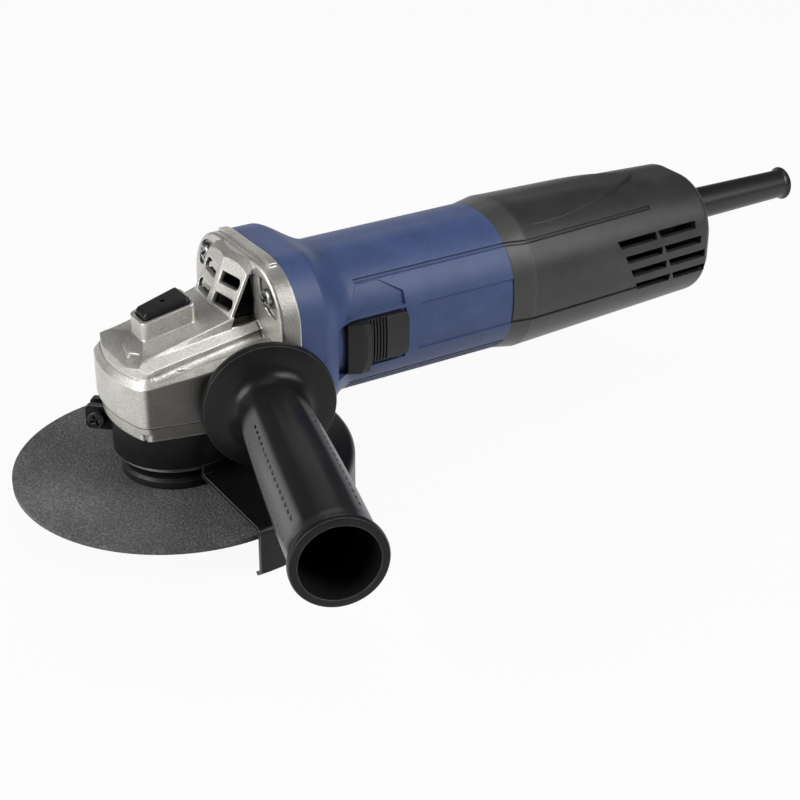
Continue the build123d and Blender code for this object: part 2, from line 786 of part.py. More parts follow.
def tower_prism(wall, low, high):
    """The vent tower's leaning, wedge-fronted prism, drawn in by a wall."""
    half = TOWER_HALF_WIDTH - wall
    start = TOWER_FRONT + wall - TOWER_LEAN * (TOWER_FOOT - low)
    plan = Polyline(
        (start, 0, DISC_TOP + low),
        (start + TOWER_SWEEP, half, DISC_TOP + low),
        (3 * FLANGE_REAR, half, DISC_TOP + low),
        (3 * FLANGE_REAR, -half, DISC_TOP + low),
        (start + TOWER_SWEEP, -half, DISC_TOP + low),
        close=True,
    )
    lean = Vector(TOWER_LEAN, 0, 1)
    return extrude(make_face(plan), (high - low) * lean.length, dir=lean)


def tower_crown():
    """The round-topped space that shapes the tower's roof, climbing to the flange."""
    climb = Vector(1, 0, TOWER_TOP_SLOPE).normalized()
    face = TOWER_FRONT + TOWER_LEAN * (TOWER_FACE_TOP - TOWER_FOOT)
    square = Vector(-climb.Z, 0, climb.X)
    middle = Vector(face, 0, DISC_TOP + TOWER_FACE_TOP) - square * TOWER_TOP_RADIUS
    return extrude(Plane(origin=middle, z_dir=climb) * Circle(TOWER_TOP_RADIUS), 2 * FLANGE_REAR, both=True)


def side_vent():
    """The wedge-shaped air outlets in the tower's two sides."""
    front = TOWER_FRONT + TOWER_SWEEP + SIDE_VENT_RIM
    spots = [(front + TOWER_LEAN * (z - TOWER_FOOT), z) for z in (SIDE_VENT_HIGH, SIDE_VENT_LOW)]
    spots += [(FLANGE_FRONT, SIDE_VENT_LOW), (FLANGE_FRONT, SIDE_VENT_HIGH)]
    face = make_face(Polyline(*[(x, RAIL_INNER, DISC_TOP + z) for x, z in spots], close=True))
    return both_sides(extrude(face, SIDE_VENT_DEPTH, dir=(0, -1, 0)))


def tower_windows():
    """Four windows, two each side of the tower's middle ridge, rounded at their outer ends."""
    cuts = []
    inner = RIDGE_WIDTH / 2
    outer = inner + WINDOW_WIDTH
    start = BUTTON_REAR + COLLAR_WALL + 1
    for row in range(2):
        high = DISC_TOP + WINDOW_TOP - row * WINDOW_PITCH
        low = high - WINDOW_HEIGHT
        corners = [(inner, high), (outer, high), (outer, low), (inner, low)]
        face = make_face(Polyline(*[(start, y, z) for y, z in corners], close=True))
        face = fillet(face.vertices().sort_by(Axis.Y)[-2:], WINDOW_ROUND)
        cuts.append(both_sides(extrude(face, FLANGE_FRONT - 1 - start, dir=(1, 0, 0))))
    return cuts


def screw_pocket(y, z):
    """The lens-shaped pocket round a housing screw's head, lying along the flange's rim."""
    along = Vector(0, AXIS_Z - z, y)
    plane = Plane(origin=(HEAD_SCREW_SEAT, y, z), x_dir=along, z_dir=(-1, 0, 0))
    long, wide = HEAD_SCREW_POCKET, HEAD_SCREW_POCKET_WIDTH
    lens = ThreePointArc((-long, 0), (0, wide), (long, 0))
    lens += ThreePointArc((long, 0), (0, -wide), (-long, 0))
    return extrude(plane * make_face(lens), 2 * (HEAD_SCREW_SEAT - FLANGE_FRONT))


def handle_axis(side):
    """The plane on the housing's boss face that the side handle's axis leaves, for one side."""
    tilt = radians(HANDLE_TILT)
    out = Vector(-sin(tilt), side * cos(tilt), 0)
    origin = (HANDLE_X, side * HANDLE_REACH, DISC_TOP + HANDLE_RISE)
    return Plane(origin=origin, x_dir=(0, 0, 1), z_dir=out)


def button_plan(grow, z):
    """The lock button's outline, narrower at the front, grown by a clearance."""
    front, rear = -BUTTON_FRONT - grow, BUTTON_REAR + grow
    near, far = BUTTON_FRONT_HALF + grow, BUTTON_REAR_HALF + grow
    outline = Polyline(
        (front, -near, z), (rear, -far, z), (rear, far, z), (front, near, z), close=True
    )
    return fillet(make_face(outline).vertices(), BUTTON_ROUND + grow / 2)


def make_gear_housing():
    flange = section(FLANGE_FRONT, FLANGE_SIZE, FLANGE_SIZE, FLANGE_ROUND)
    flange = extrude(flange, FLANGE_REAR - FLANGE_FRONT)
    flange = fillet(flange.faces().sort_by(Axis.X)[0].edges(), FLANGE_EDGE)
    grown = FLANGE_SIZE + 2 * FLANGE_RIB_HEIGHT
    rib_start = FLANGE_REAR - FLANGE_RIB_INSET - FLANGE_RIB_WIDTH
    rib = extrude(section(rib_start, grown, grown, FLANGE_ROUND + FLANGE_RIB_HEIGHT), FLANGE_RIB_WIDTH)
    rib = rib & block((0, 2 * FLANGE_REAR), (-FLANGE_RIB_HALF, FLANGE_RIB_HALF), (AXIS_Z, 3 * AXIS_Z))
    tower = tower_prism(0, TOWER_FOOT - TOWER_ROOT, TOWER_TOP) & tower_crown()
    tower = tower & block((0, FLANGE_FRONT + FLANGE_EDGE), (-AXIS_Z, AXIS_Z), (0, 3 * AXIS_Z))
    collar = extrude(button_plan(COLLAR_WALL, DISC_TOP + WALL_TOP), AXIS_Z) - above(
        DISC_TOP + BUTTON_COLLAR_CROWN, DECK_SLOPE
    )
    housing = head_base() + head_deck()
    housing -= [rail_cove(side) for side in (-1, 1)]
    housing += flange + rib + tower + collar
    for side in (-1, 1):
        boss = handle_axis(side) * Pos(0, 0, -BOSS_LENGTH / 2) * Cylinder(BOSS_RADIUS, BOSS_LENGTH)
        housing += boss & block((0, FLANGE_REAR), (-2 * AXIS_Z, 2 * AXIS_Z), (HEAD_BOTTOM, 3 * AXIS_Z))
    chamber = ring(GEAR_CHAMBER_RADIUS, 0, 0, CHAMBER_TOP)
    housing -= chamber
    housing -= ring(BUSH_RADIUS + FIT, 0, 0, BUSH_TOP)
    housing -= extrude(button_plan(BUTTON_PLAY, POCKET_FLOOR), AXIS_Z)
    housing -= Pos(-LOCK_CIRCLE, 0, AXIS_Z) * Cylinder(LOCK_PIN_RADIUS + RUNNING, AXIS_Z)
    housing -= rod_x(PINION_TUNNEL, 0, AXIS_Z, 0, FLANGE_REAR)
    housing -= rod_x(FRONT_BEARING_RADIUS + FIT, 0, AXIS_Z, FRONT_BEARING_START, FLANGE_REAR + 1)
    housing -= tower_prism(TOWER_WALL, VENT_FLOOR, TOWER_TOP - TOWER_WALL)
    housing -= tower_windows()
    housing -= side_vent()
    for y, z in post_spots():
        housing -= rod_x(HEAD_SCREW_RADIUS + SCREW_PLAY, y, z, FLANGE_FRONT - 1, FLANGE_REAR + 1)
        housing -= screw_pocket(y, z)
    sockets = {-1: STUD_RADIUS + FIT, 1: SOCKET_TAP_RADIUS}
    for side, radius in sockets.items():
        housing -= handle_axis(side) * Cylinder(radius, 2 * SOCKET_DEPTH)
    for spot in cover_screw_spots():
        housing -= spot * Pos(0, 0, HEAD_BOTTOM) * Cylinder(COVER_SCREW_RADIUS + FIT, 2 * COVER_SCREW_BITE)
    return housing


def cover_screw_spots():
    return PolarLocations(COVER_SCREW_CIRCLE, 4, 45)


def make_bearing_cover():
    plate = Pos(0, 0, PLATE_BOTTOM) * extrude(head_plan(COVER_REAR, COVER_INSET), COVER_PLATE)
    collar = turned(
        (SEAL_RADIUS + FIT, COLLAR_BOTTOM),
        (COLLAR_LIP_RADIUS, COLLAR_BOTTOM),
        (COLLAR_LIP_RADIUS, COLLAR_BOTTOM + COLLAR_LIP_HEIGHT),
        (COLLAR_RADIUS, COLLAR_BOTTOM + COLLAR_LIP_HEIGHT + LAYER),
        (COLLAR_RADIUS, HEAD_BOTTOM),
        (SEAL_RADIUS + FIT, HEAD_BOTTOM),
    )
    cover = plate + collar
    cover -= ring(SPINDLE_BEARING_RADIUS + FIT, 0, BEARING_BOTTOM, HEAD_BOTTOM + 1)
    groove = SPINDLE_BEARING_RADIUS + RETAINER_DEPTH + FIT
    cover -= ring(groove, 0, BEARING_TOP, BEARING_TOP + RETAINER_THICKNESS + FIT)
    cover -= ring(SEAL_RADIUS - 1, 0, COLLAR_BOTTOM - 1, HEAD_BOTTOM)
    for spot in cover_screw_spots():
        under = spot * Pos(0, 0, PLATE_BOTTOM)
        cover -= under * Cylinder(COVER_SCREW_RADIUS + SCREW_PLAY, 4 * COVER_PLATE)
        cover -= under * Cylinder(COVER_HEAD_RADIUS + SCREW_PLAY, 2 * COVER_HEAD_DEPTH)
    return cover


def make_bearing_cover_screws():
    screws = []
    for spot in cover_screw_spots():
        seat = PLATE_BOTTOM + COVER_HEAD_DEPTH
        screw = ring(COVER_HEAD_RADIUS, 0, seat - COVER_HEAD, seat)
        screw += ring(COVER_SCREW_RADIUS, 0, seat, HEAD_BOTTOM + COVER_SCREW_BITE - 1)
        screws.append(spot * screw)
    return Compound(screws)


def make_gear_housing_screws():
    screws = []
    for y, z in post_spots():
        head = rod_x(HEAD_SCREW_HEAD_RADIUS, y, z, HEAD_SCREW_SEAT - HEAD_SCREW_HEAD, HEAD_SCREW_SEAT)
        shank = rod_x(HEAD_SCREW_RADIUS, y, z, HEAD_SCREW_SEAT, HEAD_SCREW_END)
        screws.append(fillet(head.edges().group_by(Axis.X)[0], HEAD_SCREW_DOME) + shank)
    return Compound(screws)


def make_top_bush():
    return ring(BUSH_RADIUS, JOURNAL_RADIUS + RUNNING, CHAMBER_TOP, BUSH_TOP - LAYER)


def make_lock_button():
    low = POCKET_FLOOR + BUTTON_LIFT
    body = extrude(button_plan(0, low), AXIS_Z) - above(DISC_TOP + BUTTON_CROWN, DECK_SLOPE)
    body = chamfer(body.faces().sort_by(Axis.Z)[-1].edges(), BUTTON_EDGE)
    dimple = Cylinder(BUTTON_HOLE_RADIUS, 2 * BUTTON_HOLE_DEPTH)
    dimple = Pos(BUTTON_HOLE_X, 0, DISC_TOP + BUTTON_CROWN) * dimple
    socket = Pos(-LOCK_CIRCLE, 0, low) * Cylinder(LOCK_PIN_RADIUS + FIT, 4)
    return body - dimple - socket


def make_lock_pin():
    low = AXIS_Z - LOCK_PIN_LOW
    high = POCKET_FLOOR + BUTTON_LIFT + 2 - FIT
    return Pos(-LOCK_CIRCLE, 0, 0) * ring(LOCK_PIN_RADIUS, 0, low, high)


def make_lock_spring():
    gap = BUTTON_LIFT - LOCK_SPRING_WIRE - 2 * FIT
    coil = wound(LOCK_SPRING_WIRE, LOCK_SPRING_RADIUS, gap, LOCK_SPRING_TURNS)
    return Pos(-LOCK_CIRCLE, 0, POCKET_FLOOR + LOCK_SPRING_WIRE / 2 + FIT) * coil


# Motor housing, its rear bulkhead and the slide switch
def body_size(x):
    """The housing's width, height and corner radius at x, from the bell down to the barrel."""
    share = min(max((x - BELL_END) / (NECK_END - BELL_END), 0), 1)
    ease = (1 - cos(pi * share**NECK_EASE)) / 2
    bell = (FLANGE_SIZE, FLANGE_SIZE, FLANGE_ROUND)
    barrel = (BODY_WIDTH, BODY_HEIGHT, BODY_ROUND)
    return [a + (b - a) * ease for a, b in zip(bell, barrel)]


def body_section(x, inset=0.0):
    width, height, corner = body_size(x)
    return section(x, width - 2 * inset, height - 2 * inset, corner - inset)


def body_shape(inset, end):
    """Bell, neck and barrel as one solid, drawn in by an inset."""
    step = (NECK_END - BELL_END) / NECK_SECTIONS
    stops = [BELL_END + i * step for i in range(NECK_SECTIONS + 1)]
    bell = extrude(body_section(FLANGE_REAR, inset), BELL_END - FLANGE_REAR)
    neck = loft([body_section(x, inset) for x in stops])
    barrel = extrude(body_section(NECK_END, inset), end - NECK_END)
    return bell + neck + barrel


def barrel_shape(inset, start, end):
    """The barrel's section run straight between two stations."""
    face = section(start, BODY_WIDTH - 2 * inset, BODY_HEIGHT - 2 * inset, BODY_ROUND - inset)
    return extrude(face, end - start)


def side_block(start, end, low, high):
    """A block over the left half between two stations and two heights from the axis."""
    return block((start, end), (-2 * BODY_WIDTH, 0), (AXIS_Z + low, AXIS_Z + high))


def surface_groove(start, end, rise, width, depth):
    """A narrow groove along both sides of the barrel."""
    heights = (AXIS_Z + rise - width / 2, AXIS_Z + rise + width / 2)
    strip = block((start, end), (-BODY_WIDTH, BODY_WIDTH), heights)
    return strip - barrel_shape(depth, start - 1, end + 1)


def finger_scoop():
    """The shallow hollow above the slider, deepest at the ledge along its lower edge."""
    corners = [
        (SCOOP_FRONT, SCOOP_LOW),
        (SCOOP_FRONT + SCOOP_LEAN, SCOOP_HIGH),
        (SCOOP_REAR - SCOOP_LEAN, SCOOP_HIGH),
        (SCOOP_REAR, (SCOOP_LOW + SCOOP_HIGH) / 2),
        (SCOOP_REAR, SCOOP_LOW),
    ]
    face = make_face(Polyline(*[(x, 0, AXIS_Z + z) for x, z in corners], close=True))
    prism = extrude(face, 2 * BODY_WIDTH, dir=(0, -1, 0))
    half = BODY_HEIGHT / 2
    lift = SCOOP_DEPTH * half / (SCOOP_HIGH - SCOOP_LOW)
    floor = barrel_shape(lift * SCOOP_HIGH / half, BELL_END, SEAM)
    return prism - Pos(0, 0, lift) * floor


def slider_recess(grow, lift):
    """The space round the slider over its travel, grown by a wall, above a depth in the barrel."""
    space = side_block(
        SLIDER_FRONT - SLIDER_TRAVEL - SLIDER_PLAY - grow,
        SLIDER_REAR + SLIDER_PLAY + grow,
        -SLIDER_DROP - SLIDER_PLAY - grow,
        SLIDER_RISE + SLIDER_PLAY + grow,
    )
    return space - barrel_shape(lift, BELL_END, SEAM)


def label_panel():
    """The shallow bare panel behind the switch, on both sides."""
    middle = (PANEL_RISE - PANEL_DROP) / 2
    length = 2 * (SEAM - PANEL_FRONT)
    outline = Rectangle(length, PANEL_RISE + PANEL_DROP)
    outline = fillet(outline.vertices(), PANEL_ROUND)
    plane = Plane(origin=(SEAM, 0, AXIS_Z + middle), x_dir=(1, 0, 0), z_dir=(0, -1, 0))
    prism = extrude(plane * outline, BODY_WIDTH, both=True)
    return prism - barrel_shape(PANEL_DEPTH, PANEL_FRONT - 1, 2 * SEAM)


def make_motor_housing():
    housing = body_shape(0, SEAM)
    housing += barrel_shape(SPIGOT_INSET, SEAM - BULKHEAD, SEAM + SPIGOT_LENGTH)
    housing -= body_shape(BODY_WALL, SEAM - BULKHEAD)
    housing -= barrel_shape(SPIGOT_INSET + BODY_WALL, SEAM, SEAM + SPIGOT_LENGTH + 1)
    seat = REAR_BEARING_RADIUS + BOOT_WALL
    boss_end = REAR_BEARING_START + REAR_BEARING_WIDTH + BOOT_WALL
    housing += on_motor(ring(seat + BEARING_WALL, 0, SEAM - BULKHEAD, boss_end))
    housing -= on_motor(ring(seat + FIT, 0, REAR_BEARING_START, boss_end + 1))
    housing -= on_motor(ring(SHAFT_REAR_RADIUS + 3, 0, SEAM - 2 * BULKHEAD, boss_end))
    air_inner = seat + BEARING_WALL + AIR_SLOT_INSET
    air = ring(BARREL_HALF - AIR_SLOT_RIM, air_inner, SEAM - 2 * BULKHEAD, SEAM + 1)
    reach = BODY_WIDTH
    wedge = make_face(Polyline((0, 0), (reach, reach * AIR_TAN), (reach, -reach * AIR_TAN), close=True))
    wedge = extrude(wedge, 2 * SEAM)
    for i in range(AIR_SLOTS):
        housing -= on_motor(air & Rot(0, 0, 45 + 360 * i / AIR_SLOTS) * wedge)
    for y, z in post_spots():
        post = rod_x(SCREW_POST, y, z, FLANGE_REAR, SCREW_POST_END)
        housing += post & body_shape(0, SEAM)
        housing -= rod_x(HEAD_SCREW_RADIUS + FIT, y, z, FLANGE_REAR - 1, HEAD_SCREW_END + FIT)
    for rise in (-1, 1):
        z = AXIS_Z + rise * (STATOR_RADIUS - STATOR_SCREW_INSET)
        start = STATOR_START + STATOR_LENGTH + FIT
        post = rod_x(STATOR_POST_RADIUS, 0, z, start, start + STATOR_POST)
        housing += post & body_shape(BODY_WALL / 2, SEAM)
        housing -= rod_x(STATOR_SCREW_RADIUS + FIT, 0, z, start - 1, start + STATOR_POST - 1)
    housing -= finger_scoop()
    housing += slider_recess(RECESS_WALL, BODY_WALL) & body_shape(SCOOP_DEPTH, SEAM)
    housing -= slider_recess(0, RECESS_DEPTH)
    housing -= side_block(
        LEG_START - SLIDER_TRAVEL - SLIDER_PLAY,
        LEG_START + LEG_LENGTH + SLIDER_PLAY,
        -SLOT_HALF_HEIGHT - SLIDER_PLAY,
        SLOT_HALF_HEIGHT + SLIDER_PLAY,
    ) & block((0, SEAM), (-2 * BODY_WIDTH, -BODY_WIDTH / 4), (0, 3 * AXIS_Z))
    notch = ROD_HALF_HEIGHT + ROD_PLAY
    housing -= block(
        (SEAM - 2 * BULKHEAD, SEAM + SPIGOT_LENGTH + 1),
        (-ROD_FACE - ROD_PLAY + FIT, -ROD_FACE + ROD_THICKNESS + ROD_PLAY),
        (AXIS_Z - notch, AXIS_Z + notch),
    )
    housing -= surface_groove(CREASE_FRONT, SEAM + 1, CREASE_RISE, CREASE_WIDTH, CREASE_DEPTH)
    for i in range(STRIP_GROOVES):
        drop = STRIP_DROP + i * STRIP_PITCH
        housing -= surface_groove(STRIP_FRONT, SEAM + 1, -drop, STRIP_WIDTH, STRIP_DEPTH)
    return housing - label_panel()


def post_spots():
    """Where the four long screws stand, seen along the motor axis."""
    offset = HEAD_SCREW_OFFSET
    return [(y, AXIS_Z + z) for y in (-offset, offset) for z in (-offset, offset)]


def make_switch_slider():
    start, end = SLIDER_FRONT, SLIDER_REAR
    crest_end = start + CREST_START + CREST_WIDTH
    seat = RECESS_DEPTH - SLIDER_LIFT
    side = BODY_WIDTH / 2
    crest = side_block(start, crest_end, -SLIDER_DROP, SLIDER_RISE)
    crest &= barrel_shape(-CREST_PROUD, start, crest_end)
    ramp = Polyline(
        (start, -side - RAMP_FOOT),
        (start + CREST_START, -side - CREST_PROUD),
        (start + CREST_START, -2 * side),
        (start, -2 * side),
        close=True,
    )
    crest -= Pos(0, 0, AXIS_Z) * extrude(make_face(ramp), BODY_HEIGHT, both=True)
    low, high = SLIDER_STEP - SLIDER_DROP, SLIDER_RISE
    middle = ((start + end) / 2, 0, AXIS_Z + (low + high) / 2)
    plane = Plane(origin=middle, x_dir=(1, 0, 0), z_dir=(0, -1, 0))
    outline = RectangleRounded(end - start, high - low, SLIDER_ROUND)
    pad = barrel_shape(-SLIDER_PROUD, crest_end, end) & extrude(plane * outline, BODY_WIDTH)
    floor = barrel_shape(SLIDER_RIB_DEPTH - SLIDER_PROUD, start - 1, end + 1)
    for i in range(SLIDER_RIBS):
        x = crest_end + (i + 1) * SLIDER_RIB_PITCH
        pad -= side_block(x - SLIDER_RIB_WIDTH, x, -SLIDER_DROP, SLIDER_RISE) - floor
    leg = block(
        (LEG_START, LEG_START + LEG_LENGTH),
        (-side + seat - 1, -ROD_FACE),
        (AXIS_Z - SLOT_HALF_HEIGHT, AXIS_Z + SLOT_HALF_HEIGHT),
    )
    return crest + pad - barrel_shape(seat, start - 1, end + 1) + leg


def make_switch_rod():
    face = (-ROD_FACE, -ROD_FACE + ROD_THICKNESS)
    return block((LEG_START, ROD_END), face, (AXIS_Z - ROD_HALF_HEIGHT, AXIS_Z + ROD_HALF_HEIGHT))


# Motor
def make_air_baffle():
    width = body_size(BAFFLE_START + BAFFLE_THICKNESS)[0]
    outer = width / 2 - BODY_WALL - BAFFLE_PLAY
    return on_motor(ring(outer, BAFFLE_BORE, BAFFLE_START, BAFFLE_START + BAFFLE_THICKNESS))


def sector(inner, outer, span, start, end):
    """A ring sector about Z that spans an angle each side of local Y."""
    half = radians(span)
    reach = 3 * outer
    points = [(0, 0)]
    for share in (-1, -0.5, 0, 0.5, 1):
        points.append((reach * sin(half * share), reach * cos(half * share)))
    wedge = Pos(0, 0, start) * extrude(make_face(Polyline(*points, close=True)), end - start)
    return ring(outer, inner, start, end) & wedge


def make_stator_core():
    start, end = STATOR_START, STATOR_START + STATOR_LENGTH
    bore = CORE_RADIUS + AIR_GAP
    yoke = ring(STATOR_RADIUS, STATOR_RADIUS - STATOR_YOKE, start, end)
    poles = sector(bore, STATOR_RADIUS - 1, POLE_SPAN, start, end)
    core = yoke + poles + Rot(0, 0, 180) * poles
    core = on_motor(core) & block(
        (start, end), (-STATOR_HALF_WIDTH, STATOR_HALF_WIDTH), (0, 3 * AXIS_Z)
    )
    for rise in (-1, 1):
        z = AXIS_Z + rise * (STATOR_RADIUS - STATOR_SCREW_INSET)
        core -= rod_x(STATOR_SCREW_RADIUS + FIT, 0, z, start - 1, end + 1)
    return core


def make_stator_coils():
    start, end = STATOR_START - COIL_OVERHANG, STATOR_START + STATOR_LENGTH + COIL_OVERHANG
    bore = CORE_RADIUS + 2 * AIR_GAP
    outer = STATOR_RADIUS - STATOR_SCREW_INSET - STATOR_POST_RADIUS - RUNNING
    coil = sector(bore, outer, COIL_SPAN, start, end)
    coil -= sector(
        bore - 1, outer + 1, POLE_SPAN + COIL_PLAY, STATOR_START - FIT, STATOR_START + STATOR_LENGTH + FIT
    )
    return Compound([on_motor(coil), on_motor(Rot(0, 0, 180) * coil)])


def make_stator_screws():
    screws = []
    for rise in (-1, 1):
        z = AXIS_Z + rise * (STATOR_RADIUS - STATOR_SCREW_INSET)
        head = rod_x(STATOR_SCREW_INSET - SCREW_PLAY, 0, z, STATOR_START - 2, STATOR_START)
        end = STATOR_START + STATOR_LENGTH + STATOR_POST - 2
        screws.append(head + rod_x(STATOR_SCREW_RADIUS, 0, z, STATOR_START, end))
    return Compound(screws)


def make_armature_shaft():
    front = (CONE - FACE_WIDTH) * cos(PINION_CONE) - PINION_NUT - 0.5
    end = REAR_BEARING_START + REAR_BEARING_WIDTH
    return on_motor(
        turned(
            (0, front),
            (SHAFT_FRONT_RADIUS, front),
            (SHAFT_FRONT_RADIUS, PINION_HUB_END),
            (SHAFT_BEARING_RADIUS, PINION_HUB_END),
            (SHAFT_BEARING_RADIUS, FRONT_BEARING_START + FRONT_BEARING_WIDTH),
            (SHAFT_CORE_RADIUS, FRONT_BEARING_START + FRONT_BEARING_WIDTH),
            (SHAFT_CORE_RADIUS, COMMUTATOR_START + COMMUTATOR_LENGTH),
            (SHAFT_REAR_RADIUS, COMMUTATOR_START + COMMUTATOR_LENGTH),
            (SHAFT_REAR_RADIUS, end),
            (0, end),
        )
    )


def rotor_slots(width, depth, start, end):
    """Bars that fill the armature's slots."""
    bar = block((CORE_RADIUS - depth, CORE_RADIUS + 1), (-width / 2, width / 2), (start, end))
    return [Rot(0, 0, 360 * i / ROTOR_SLOTS) * bar for i in range(ROTOR_SLOTS)]


def make_armature_core():
    start, end = STATOR_START, STATOR_START + STATOR_LENGTH
    core = ring(CORE_RADIUS, SHAFT_CORE_RADIUS + FIT, start, end)
    return on_motor(core - rotor_slots(ROTOR_SLOT, ROTOR_SLOT_DEPTH, start - 1, end + 1))


def make_armature_windings():
    start, end = STATOR_START, STATOR_START + STATOR_LENGTH
    inner = SHAFT_CORE_RADIUS + FIT
    coils = ring(WINDING_RADIUS + 1, inner, start - WINDING_LENGTH, start - FIT)
    coils += ring(WINDING_RADIUS + 1, inner, end + FIT, end + WINDING_LENGTH)
    low = CORE_RADIUS - ROTOR_SLOT_DEPTH + FIT
    half = ROTOR_SLOT / 2 - FIT
    for i in range(ROTOR_SLOTS):
        bar = block((low, CORE_RADIUS - 1), (-half, half), (start - 1, end + 1))
        coils += Rot(0, 0, 360 * i / ROTOR_SLOTS) * bar
    return on_motor(coils)


def make_commutator():
    start, end = COMMUTATOR_START, COMMUTATOR_START + COMMUTATOR_LENGTH
    bars = ring(COMMUTATOR_RADIUS, SHAFT_CORE_RADIUS + FIT, start, end)
    half = COMMUTATOR_SLIT / 2
    slit = block((COMMUTATOR_RADIUS - 1, COMMUTATOR_RADIUS + 1), (-half, half), (start - 1, end + 1))
    bars -= [Rot(0, 0, 360 * i / COMMUTATOR_BARS) * slit for i in range(COMMUTATOR_BARS)]
    return on_motor(bars)


def make_cooling_fan():
    start, end = FAN_START, FAN_START + FAN_LENGTH
    fan = ring(FAN_HUB_RADIUS, SHAFT_CORE_RADIUS + FIT, start, end)
    fan += ring(FAN_RADIUS, FAN_HUB_RADIUS - 1, end - FAN_DISC, end)
    half = FAN_BLADE / 2
    blade = block((FAN_HUB_RADIUS + 3, FAN_RADIUS), (-half, half), (start, end - FAN_DISC + 0.5))
    for i in range(FAN_BLADES):
        fan += Rot(0, 0, 360 * i / FAN_BLADES) * blade
    return on_motor(fan & ring(FAN_RADIUS, 0, start, end))


def make_rear_bearing_boot():
    start = REAR_BEARING_START
    outer = REAR_BEARING_RADIUS + BOOT_WALL
    end = start + REAR_BEARING_WIDTH
    cup = turned(
        (REAR_BEARING_RADIUS + FIT, start),
        (outer, start),
        (outer, end + BOOT_WALL),
        (SHAFT_REAR_RADIUS + 1, end + BOOT_WALL),
        (SHAFT_REAR_RADIUS + 1, end + FIT),
        (REAR_BEARING_RADIUS + FIT, end + FIT),
    )
    return on_motor(cup)


def make_front_bearing_retainer():
    start = FRONT_BEARING_START + FRONT_BEARING_WIDTH + FIT
    return on_motor(ring(FRONT_BEARING_RADIUS, FRONT_BEARING_RADIUS - 3, start, FLANGE_REAR))


def brush_pair(shape):
    """A shape that stands on the axis along Z, above and below the commutator."""
    x = COMMUTATOR_START + COMMUTATOR_LENGTH / 2
    return Compound([Pos(x, 0, AXIS_Z) * shape, Pos(x, 0, AXIS_Z) * Rot(180, 0, 0) * shape])


def make_brush_holders():
    half, breadth = BRUSH_WIDTH / 2 + BRUSH_PLAY, BRUSH_BREADTH / 2 + BRUSH_PLAY
    low, high = COMMUTATOR_RADIUS + HOLDER_GAP, BARREL_HALF - FIT
    wall = HOLDER_WALL
    tube = block((-breadth - wall, breadth + wall), (-half - wall, half + wall), (low, high))
    inside = block((-breadth, breadth), (-half, half), (low - 1, high - wall))
    return brush_pair(tube - inside)


def make_carbon_brushes():
    low = COMMUTATOR_RADIUS - 2
    high = COMMUTATOR_RADIUS + BRUSH_LENGTH
    brush = block((-BRUSH_BREADTH / 2, BRUSH_BREADTH / 2), (-BRUSH_WIDTH / 2, BRUSH_WIDTH / 2), (low, high))
    return brush_pair(brush - Rot(0, 90, 0) * Cylinder(COMMUTATOR_RADIUS + BRUSH_GAP, 2 * BRUSH_BREADTH))


def make_brush_springs():
    low = COMMUTATOR_RADIUS + BRUSH_LENGTH + BRUSH_SPRING_WIRE / 2 + FIT
    height = BARREL_HALF - HOLDER_WALL - 2 * FIT - BRUSH_SPRING_WIRE / 2 - low
    coil = wound(BRUSH_SPRING_WIRE, BRUSH_SPRING_RADIUS, height, BRUSH_SPRING_TURNS)
    return brush_pair(Pos(0, 0, low) * coil)


# Rear cover in two halves, and what it holds
def cover_section(x, inset):
    """The rear cover's section at x: a short flare behind the seam, then a long taper."""
    flare = SEAM + COVER_FLARE
    seam = (BODY_WIDTH, BODY_HEIGHT, BODY_ROUND)
    size = COVER_FLARE_SIZE
    widest = (BODY_WIDTH + 2 * size, BODY_HEIGHT + 2 * size, BODY_ROUND + size)
    if x <= flare:
        share = (x - SEAM) / COVER_FLARE
        low, high = seam, widest
    else:
        share = (x - flare) / (COVER_END - flare)
        low, high = widest, (COVER_END_WIDTH, COVER_END_HEIGHT, COVER_END_ROUND)
    width, height, corner = [a + (b - a) * share for a, b in zip(low, high)]
    return section(x, width - 2 * inset, height - 2 * inset, corner - inset)


def cover_shape(inset, end):
    """The rear cover's outer form, drawn in by an inset and ending at a station."""
    flare = SEAM + COVER_FLARE
    front = loft([cover_section(SEAM, inset), cover_section(flare, inset)], ruled=True)
    rear = loft([cover_section(flare, inset), cover_section(end, inset)], ruled=True)
    shape = front + rear
    return fillet(shape.edges().group_by(Axis.X)[-1], COVER_END_FILLET - max(inset, 0))


def tongue():
    """The raised leaf on top of the cover, which grows out of it towards its tip."""
    front, tip = (TONGUE_FRONT, TONGUE_FRONT_HALF), (TONGUE_TIP, 0)
    middle = (TONGUE_MIDDLE, TONGUE_MIDDLE_HALF)
    leaf = ThreePointArc(front, middle, tip)
    leaf += ThreePointArc(tip, (middle[0], -middle[1]), (front[0], -front[1]))
    leaf += Line((front[0], -front[1]), front)
    prism = Pos(0, 0, AXIS_Z) * extrude(make_face(leaf), 2 * AXIS_Z)
    swell = loft([cover_section(TONGUE_FRONT, 0), cover_section(TONGUE_TIP, -TONGUE_PROUD)], ruled=True)
    return swell & prism


def vent_slots():
    """Rows of raked slots in two columns, through both side walls."""
    faces = []
    half = VENT_HEIGHT / 2
    for row in range(VENT_ROWS):
        z = AXIS_Z + VENT_RISE - row * VENT_PITCH
        for column in range(2):
            shift = column * (VENT_LENGTH + VENT_RIB)
            front = VENT_FRONT + row * (VENT_REAR_RAKE if column else VENT_RAKE) + shift
            rear = VENT_FRONT + VENT_LENGTH + row * VENT_REAR_RAKE + shift
            lean = VENT_RAKE / VENT_PITCH * half
            low, high = z - half, z + half
            corners = [(front - lean, high), (rear, high), (rear, low), (front + lean, low)]
            faces.append(make_face(Polyline(*[(x, 0, z) for x, z in corners], close=True)))
    return [extrude(face, BODY_WIDTH, dir=(0, 1, 0), both=True) for face in faces]


